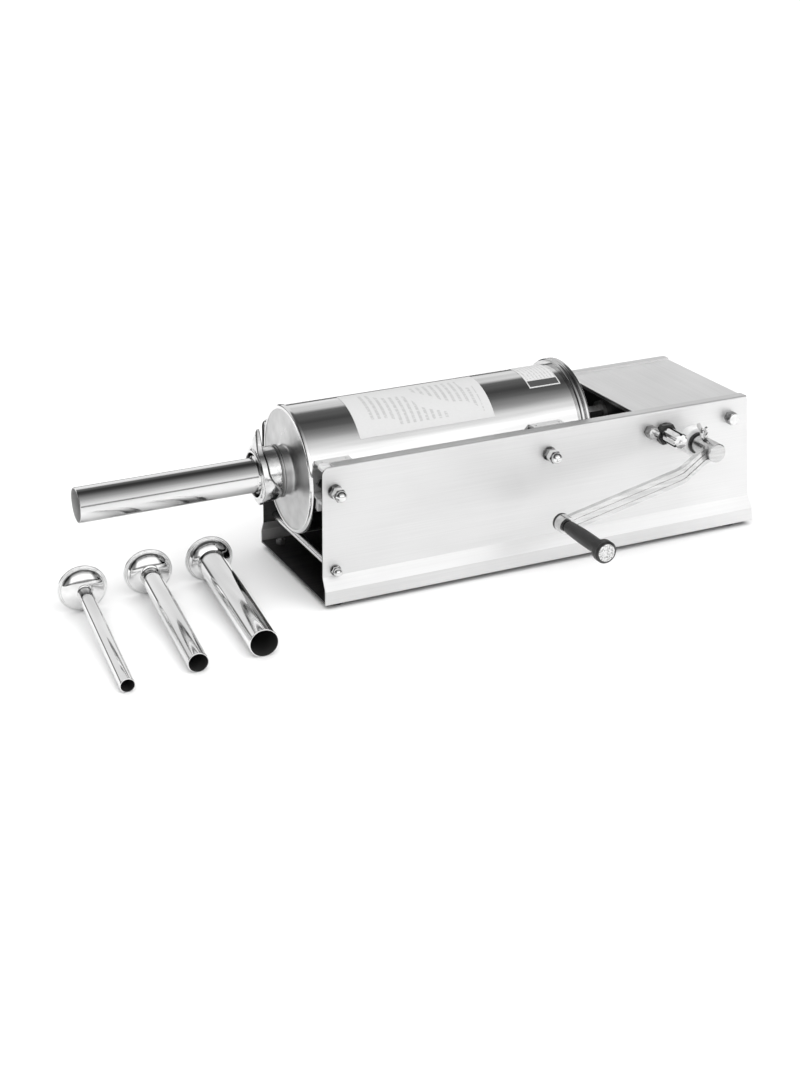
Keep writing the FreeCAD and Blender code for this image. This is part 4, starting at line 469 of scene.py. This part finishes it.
NODE_FINISHES = {
    "near_sheet": ["side_plate_near"],
    "far_sheet": ["side_plate_far"],
    "shaded_inner_sheet": ["base_plate", "gearbox_front_wall", "near_bearing_plate", "far_bearing_plate"],
    "cover_sheet": ["top_cover", "rear_wall"],
    "rubber": ["rubber_feet", "piston_seal", "outlet_gasket"],
    "bracket": ["front_bracket_near", "front_bracket_far", "rear_bracket_near",
                "rear_bracket_far"],
    "acorn": ["bracket_acorn_nuts", "bracket_washers"],
    "small_acorn": ["tie_rod_acorn_nuts", "tie_rod_washers"],
    "case_bolt": ["gearbox_bolts"],
    "chrome": ["bracket_bolts", "gearbox_nuts", "gearbox_spacers", "thumb_screw",
               "grip_spindle", "piston_bolt", "slow_shaft"],
    # painted shade: the rack's front bush, a white plastic part in shade, takes the dark gear steel
    "gear": ["foot_bolts", "rack_front_bush", "rack_pinion", "large_gear", "small_gear",
             "rack_bar", "crank_shaft", "crank_retaining_ring", "slow_retaining_ring"],
    "arm": ["crank_arm"],
    "satin": ["crank_hub", "front_tie_rod"],
    "piston": ["piston_disc"],
    "white_plastic": ["crank_outer_bush", "rack_rear_bush", "rack_guide_block"],
    "black_plastic": ["slow_outer_bush", "slow_inner_bush", "crank_inner_bush",
                      "crank_far_bush", "crank_seal_ring", "arm_back_cap"],
    "ribbed": ["grip"],
    "speckled": ["grip_end_disc"],
}


def paint_frame():
    """Give every CAD node that stays visible its finish."""
    for name, nodes in NODE_FINISHES.items():
        for node in nodes:
            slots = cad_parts[node].data.materials
            slots.clear()
            slots.append(finishes[name].material)


# ---------------------------------------------------------------- shapes in mesh code

def piece(name, points, faces, body, names):
    """A mesh object that rides on a body. Each face is its corners and the number of its finish."""
    mesh = bpy.data.meshes.new(name)
    mesh.from_pydata(points, [], [corners for corners, _ in faces])
    for finish in names:
        mesh.materials.append(finishes[finish].material)
    for polygon, (_, number) in zip(mesh.polygons, faces):
        polygon.material_index = number
    work = bmesh.new()
    work.from_mesh(mesh)
    bmesh.ops.recalc_face_normals(work, faces=work.faces)
    work.to_mesh(mesh)
    work.free()
    mesh.shade_smooth()
    mesh.set_sharp_from_angle(angle=math.radians(38))
    obj = bpy.data.objects.new(name, mesh)
    bpy.context.scene.collection.objects.link(obj)
    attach(obj, body)
    return obj


def ring_faces(around, along, inside=()):
    """Quads of a grid closed both ways; columns named inside take the second finish."""
    faces = []
    for i in range(around):
        for j in range(along):
            after_i = (i + 1) % around
            after_j = (j + 1) % along
            corners = (i * along + j, i * along + after_j, after_i * along + after_j,
                       after_i * along + j)
            faces.append((corners, 1 if j in inside else 0))
    return faces


def lathe(name, profile, origin, axis, body, names, inside=(), around=160):
    """A turned solid: its closed profile is (distance along the axis, radius)."""
    axis = Vector(axis).normalized()
    across = axis.orthogonal().normalized()
    other = axis.cross(across)
    points = []
    for i in range(around):
        angle = 2 * math.pi * i / around
        outward = across * math.cos(angle) + other * math.sin(angle)
        for step, radius in profile:
            points.append(Vector(origin) + axis * step + outward * radius)
    faces = ring_faces(around, len(profile), inside)
    return piece(name, points, faces, body, names)


def bend(start, corner, stop, count=4):
    """Points of a smooth curve from start to stop that is drawn towards a corner."""
    points = []
    for i in range(count + 1):
        t = i / count
        weights = ((1 - t) ** 2, 2 * t * (1 - t), t ** 2)
        points.append(tuple(sum(w * p[k] for w, p in zip(weights, (start, corner, stop)))
                            for k in range(2)))
    return points


def bead(step, count=14):
    """Half a circle that stands on the beads' seat."""
    angles = [math.pi * i / count for i in range(count + 1)]
    return [(step - BEAD_RADIUS * math.cos(angle), BEAD_SEAT + BEAD_RADIUS * math.sin(angle))
            for angle in angles]


def on_axis(x):
    return Vector((x, MIDDLE_Y, AXIS_Z))


def barrel():
    """The plain tube of the cylinder."""
    inner = BARREL_RADIUS - BARREL_WALL
    profile = [(BARREL_FRONT, inner), (BARREL_FRONT, BARREL_RADIUS),
               (BARREL_REAR, BARREL_RADIUS), (BARREL_REAR, inner)]
    shell = lathe("barrel_shell", profile, on_axis(0), (1, 0, 0), "machine",
                  ("barrel", "bore"), {3}, 256)
    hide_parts("cylinder_barrel")


def barrel_rim():
    """The rolled rim at the rear: a narrow band and two beads."""
    front = RIM_REAR - RIM_WIDTH
    profile = [(front, BARREL_RADIUS), (front, BEAD_SEAT)]
    for place in BEAD_PLACES:
        profile += bead(place)
    profile += [(RIM_REAR, BARREL_RADIUS)]
    rim = lathe("barrel_rim", profile, on_axis(0), (1, 0, 0), "machine",
                ("rim",), around=256)
    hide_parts("cylinder_rear_rim")


def front_cap():
    """The front cap: a polished rounded edge round a duller face that lies a little deeper."""
    dish = CAP_FACE + CAP_DISH
    edge_end = CAP_RADIUS - 3.6 * MM
    profile = [(BARREL_FRONT, NECK_BORE), (BARREL_FRONT, CAP_RADIUS)]
    profile += bend((BARREL_FRONT - 0.2 * MM, CAP_RADIUS), (CAP_FACE, CAP_RADIUS),
                    (CAP_FACE, edge_end), 8)
    edge = set(range(1, len(profile)))
    profile += bend((CAP_FACE, edge_end - 1 * MM), (dish, edge_end - 1.6 * MM),
                    (dish, edge_end - 2.6 * MM))
    profile += [(dish, NECK_FOOT + 4 * MM), (CAP_FACE, NECK_FOOT + 2.5 * MM),
                (CAP_FACE, NECK_BORE)]
    cap = lathe("front_cap", profile, on_axis(0), (1, 0, 0), "machine",
                ("cap", "loose_tube"), edge, 256)
    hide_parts("cylinder_front_cap")


def neck():
    """The outlet's neck: a foot on the cap, a plain run, and a collar of two fine steps."""
    profile = [(NECK_END, NECK_BORE), (CAP_FACE, NECK_BORE), (CAP_FACE, NECK_FOOT)]
    profile += bend((CAP_FACE, NECK_FOOT), (CAP_FACE - 0.4 * MM, NECK_RADIUS + 0.4 * MM),
                    (CAP_FACE - 2.4 * MM, NECK_RADIUS), 5)
    for x in STEP_PLACES:
        profile += [(x, NECK_RADIUS), (x, STEP_RADIUS), (x - STEP_WIDTH, STEP_RADIUS),
                    (x - STEP_WIDTH, NECK_RADIUS)]
    profile += [(NECK_END, NECK_RADIUS)]
    turned = lathe("neck", profile, on_axis(0), (1, 0, 0), "machine", ("cap",))
    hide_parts("outlet_neck")


def tube_profile(radius):
    """A stuffing tube from its rim: double ring, domed shoulder, straight spout."""
    inner = radius - TUBE_WALL
    neck_from = DISC_THICK + DOME_LENGTH
    dome_at = DISC_THICK + 7.6 * MM
    swell = (radius + DOME_RADIUS) / 2 + (DOME_RADIUS - radius) * DOME_SWELL
    profile = [(0, DOME_RADIUS - TUBE_WALL), (0, DISC_RADIUS - 0.8 * MM)]
    profile += bend((0, DISC_RADIUS - 0.8 * MM), (0, DISC_RADIUS), (0.8 * MM, DISC_RADIUS))
    profile += bend((DISC_THICK - 0.9 * MM, DISC_RADIUS), (DISC_THICK, DISC_RADIUS),
                    (DISC_THICK, DISC_RADIUS - 1.1 * MM))
    profile += bend((DISC_THICK, DISC_RADIUS - 1.5 * MM),
                    (DISC_THICK - 0.7 * MM, DISC_RADIUS - 1.9 * MM),
                    (DISC_THICK, DOME_RADIUS + 0.4 * MM))
    profile += bend((DISC_THICK, DOME_RADIUS), (dome_at, swell + (swell - radius) * 0.35),
                    (neck_from, radius + 0.5 * MM), 14)
    profile += bend((neck_from + 0.2 * MM, radius + 0.25 * MM), (neck_from + 1 * MM, radius),
                    (neck_from + 3 * MM, radius))
    profile += [(TUBE_LENGTH - 0.4 * MM, radius), (TUBE_LENGTH, radius - 0.4 * MM)]
    bore_from = len(profile)
    profile += [(TUBE_LENGTH, inner), (TUBE_LENGTH - 0.2 * MM, inner), (neck_from, inner)]
    profile += bend((neck_from, inner), (dome_at, swell - TUBE_WALL),
                    (DISC_THICK, DOME_RADIUS - TUBE_WALL), 8)
    return profile, set(range(bore_from, len(profile)))


def mounted_tube():
    profile, inside = tube_profile(MOUNTED_RADIUS)
    tube = lathe("mounted_tube_spout", profile, on_axis(TUBE_RIM_X), (-1, 0, 0),
                 "mounted_tube", ("mounted_tube", "mounted_bore"), inside)
    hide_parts("stuffing_tube_mounted")


def loose_tubes():
    """The three tubes on the table: each lies on its rim's edge and its tip."""
    turn = math.radians(90 - LOOSE_TURN)
    for name, (radius, x, y) in LOOSE_TUBES.items():
        tilt = math.atan((DISC_RADIUS - radius) / (TUBE_LENGTH - DISC_THICK))
        axis = Vector((-math.cos(tilt) * math.cos(turn), -math.cos(tilt) * math.sin(turn),
                       -math.sin(tilt)))
        height = DISC_RADIUS * math.cos(tilt) + DISC_THICK * math.sin(tilt)
        profile, inside = tube_profile(radius)
        tube = lathe(f"{name}_tube_spout", profile, (x, y, height), axis, f"{name}_tube",
                     ("loose_tube", "bore"), inside, 128)
        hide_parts(f"stuffing_tube_{name}")


def apart(angle, centre):
    """Degrees between two angles, the short way round."""
    return abs((angle - centre + 180) % 360 - 180)


def peak(angle, centre, half):
    """1 at the centre, falling in a concave curve to 0 at half a width away (degrees)."""
    return max(0.0, 1 - apart(angle, centre) / half) ** 2


def hump(angle, centre, half):
    """1 at the centre, falling in a smooth wave to 0 at half a width away (degrees)."""
    return 0.5 + 0.5 * math.cos(math.pi * min(apart(angle, centre), half) / half)


def nut_section(angle):
    """Section of the ring nut at an angle from straight up towards the crank's side."""
    high = peak(angle, *UPPER_LUG[:2])
    low = peak(angle, *LOWER_LUG[:2])
    lobe = hump(angle, *SIDE_LOBE[:2])
    crest = NUT_FLANGE + UPPER_LUG[2] * high + LOWER_LUG[2] * low + SIDE_LOBE[2] * lobe
    lean = (4.5 * high + 3 * low) * MM
    back = NUT_FRONT + (8.5 + 13.5 * lobe ** 1.5 - 2.5 * high) * MM
    edge = max(back, NUT_FRONT + 5 * MM) + lean
    waist = max(back, NUT_FRONT + 5.4 * MM) + lean * 0.4
    seat = TUBE_RIM_X - DISC_THICK - 0.3 * MM
    points = [(NUT_FRONT + 1.2 * MM, NUT_BORE), (NUT_FRONT, NUT_BORE + 0.7 * MM),
              (NUT_FRONT, NUT_MOUTH - 2.3 * MM), (NUT_FRONT + 0.5 * MM, NUT_MOUTH - 1.3 * MM),
              (NUT_FRONT + 1.4 * MM + lean * 0.25, NUT_MOUTH)]
    points += bend((NUT_FRONT + 1.6 * MM + lean * 0.5, (NUT_MOUTH + crest) / 2),
                   (NUT_FRONT + 1.8 * MM + lean, crest), (NUT_FRONT + 3.4 * MM + lean, crest), 5)
    points += bend((max(back - 1.5 * MM, NUT_FRONT + 4 * MM) + lean, crest), (edge, crest),
                   (edge, crest - 1.6 * MM))
    points += [(waist, max(NUT_FLANGE + 0.5 * MM, 0.4 * crest + 0.6 * (NUT_BODY + 0.6 * MM))),
               (min(back, NUT_REAR - 2.6 * MM) + 1.2 * MM, NUT_BODY),
               (NUT_REAR - 1.2 * MM, NUT_BODY), (NUT_REAR, NUT_BODY - 1 * MM),
               (NUT_REAR, NUT_THREAD), (seat, NUT_THREAD), (seat, NUT_BORE)]
    return points


def ring_nut():
    """The cast ring nut: a wavy flange that runs out into two lugs and a side lobe."""
    sections = [nut_section(angle) for angle in range(360)]
    points = []
    for angle, section in enumerate(sections):
        turn = math.radians(angle)
        for x, radius in section:
            points.append((x, MIDDLE_Y - radius * math.sin(turn),
                           AXIS_Z + radius * math.cos(turn)))
    faces = ring_faces(len(sections), len(sections[0]))
    nut = piece("ring_nut_casting", points, faces, "ring_nut", ("cast",))
    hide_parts("ring_nut")


def curved_label(name, start, stop, first, last, finish):
    """A thin sheet on the barrel from x start to stop and between two angles from the top."""
    cells = range(LABEL_CELLS)
    row = LABEL_CELLS + 1
    layer = row * row
    points = []
    for radius in (BARREL_RADIUS - LABEL_SUNK, BARREL_RADIUS + LABEL_PROUD):
        for i in range(row):
            for j in range(row):
                angle = math.radians(first + (last - first) * j / LABEL_CELLS)
                points.append((start + (stop - start) * i / LABEL_CELLS,
                               MIDDLE_Y - radius * math.sin(angle),
                               AXIS_Z + radius * math.cos(angle)))

    def index(i, j, level):
        return level * layer + i * row + j

    quads = []
    for i in cells:
        for j in cells:
            for level in (0, 1):
                quads.append((index(i, j, level), index(i + 1, j, level),
                              index(i + 1, j + 1, level), index(i, j + 1, level)))
    for i in cells:
        for j in (0, LABEL_CELLS):
            quads.append((index(i, j, 0), index(i + 1, j, 0), index(i + 1, j, 1), index(i, j, 1)))
            quads.append((index(j, i, 0), index(j, i + 1, 0), index(j, i + 1, 1), index(j, i, 1)))
    label = piece(name, points, [(quad, 0) for quad in quads], "machine", (finish,))
    across = label.data.uv_layers.new(name="across")
    for loop in label.data.loops:
        i, j = divmod(loop.vertex_index % layer, row)
        across.data[loop.index].uv = (i / LABEL_CELLS, 1 - j / LABEL_CELLS)


# ---------------------------------------------------------------- studio

def floor():
    """A large pale floor of faintly clouded paper."""
    finish = Finish("floor_paper")
    finish.colour(finish.mix(finish.noise((2, 2, 2)), grey(0.90), grey(0.93)))
    finish.roughness(finish.spread(finish.noise((3, 3, 3)), 0.8, 0.95))
    finish.shader.inputs["Specular IOR Level"].default_value = 0.1
    far = FLOOR_REACH
    mesh = bpy.data.meshes.new("floor")
    mesh.from_pydata([(-far, -far, 0), (far, -far, 0), (far, far, 0), (-far, far, 0)], [],
                     [(0, 1, 2, 3)])
    mesh.materials.append(finish.material)
    ground = bpy.data.objects.new("floor", mesh)
    bpy.context.scene.collection.objects.link(ground)


def sun():
    """One soft sun overhead, which is not seen in the steel."""
    data = bpy.data.lights.new("overhead", "SUN")
    data.energy = SUN_STRENGTH
    data.angle = math.radians(SUN_SPREAD)
    lamp = bpy.data.objects.new("overhead", data)
    lamp.rotation_euler = (math.radians(SUN_TILT), 0, 0)
    lamp.visible_glossy = False
    bpy.context.scene.collection.objects.link(lamp)


def sky():
    """A sky whose brightness goes by the angle round the X axis, dimmed to the left and right."""
    world = bpy.data.worlds.new("studio")
    bpy.context.scene.world = world
    world.use_nodes = True
    nodes, links = world.node_tree.nodes, world.node_tree.links
    where = nodes.new("ShaderNodeTexCoord")
    split = nodes.new("ShaderNodeSeparateXYZ")
    turn = nodes.new("ShaderNodeMath")
    turn.operation = "ARCTAN2"
    part = nodes.new("ShaderNodeMath")
    part.operation = "DIVIDE"
    part.inputs[1].default_value = math.pi
    ramp = nodes.new("ShaderNodeValToRGB")
    stops = ramp.color_ramp.elements
    while len(stops) < len(SKY):
        stops.new(0.5)
    for stop, (place, level) in zip(stops, SKY):
        stop.position = place
        stop.color = (*grey(level / SKY_PEAK), 1)
    sides = nodes.new("ShaderNodeMath")
    sides.operation = "ABSOLUTE"
    dim = nodes.new("ShaderNodeMapRange")
    dim.interpolation_type = "SMOOTHSTEP"
    dim.inputs["From Min"].default_value = SIDES_FROM
    dim.inputs["From Max"].default_value = SIDES_TO
    dim.inputs["To Min"].default_value = SKY_PEAK
    dim.inputs["To Max"].default_value = SKY_PEAK * SIDES_LEVEL
    background = nodes["Background"]
    links.new(where.outputs["Generated"], split.inputs["Vector"])
    links.new(split.outputs["Z"], turn.inputs[0])
    links.new(split.outputs["Y"], turn.inputs[1])
    links.new(turn.outputs["Value"], part.inputs[0])
    links.new(part.outputs["Value"], ramp.inputs["Fac"])
    links.new(ramp.outputs["Color"], background.inputs["Color"])
    links.new(split.outputs["X"], sides.inputs[0])
    links.new(sides.outputs["Value"], dim.inputs["Value"])
    links.new(dim.outputs["Result"], background.inputs["Strength"])


def add_camera():
    """The photograph's view: turned by yaw, tipped down by pitch, leaning by roll."""
    yaw, pitch, roll = (math.radians(a) for a in (CAMERA_YAW, CAMERA_PITCH, CAMERA_ROLL))
    ahead = Vector((math.sin(yaw), math.cos(yaw), 0))
    right = Vector((math.cos(yaw), -math.sin(yaw), 0))
    top = Vector((0, 0, 1))
    forward = ahead * math.cos(pitch) - top * math.sin(pitch)
    above = top * math.cos(pitch) + ahead * math.sin(pitch)
    x_axis = right * math.cos(roll) + above * math.sin(roll)
    y_axis = above * math.cos(roll) - right * math.sin(roll)
    data = bpy.data.cameras.new("camera")
    data.sensor_fit = "HORIZONTAL"
    data.sensor_width = CAMERA_SENSOR
    data.lens = CAMERA_LENS
    data.shift_y = CAMERA_SHIFT
    camera = bpy.data.objects.new("camera", data)
    bpy.context.scene.collection.objects.link(camera)
    turn = Matrix((x_axis, y_axis, -forward)).transposed().to_4x4()
    camera.matrix_world = Matrix.Translation(CAMERA_PLACE) @ turn
    bpy.context.scene.camera = camera


paint_frame()
barrel()
barrel_rim()
front_cap()
neck()
mounted_tube()
loose_tubes()
ring_nut()
curved_label("large_label", *LARGE_LABEL, "paper")
curved_label("small_label", *SMALL_LABEL, "small_label")
floor()
sun()
sky()
add_camera()
bpy.context.scene.view_settings.view_transform = "Standard"
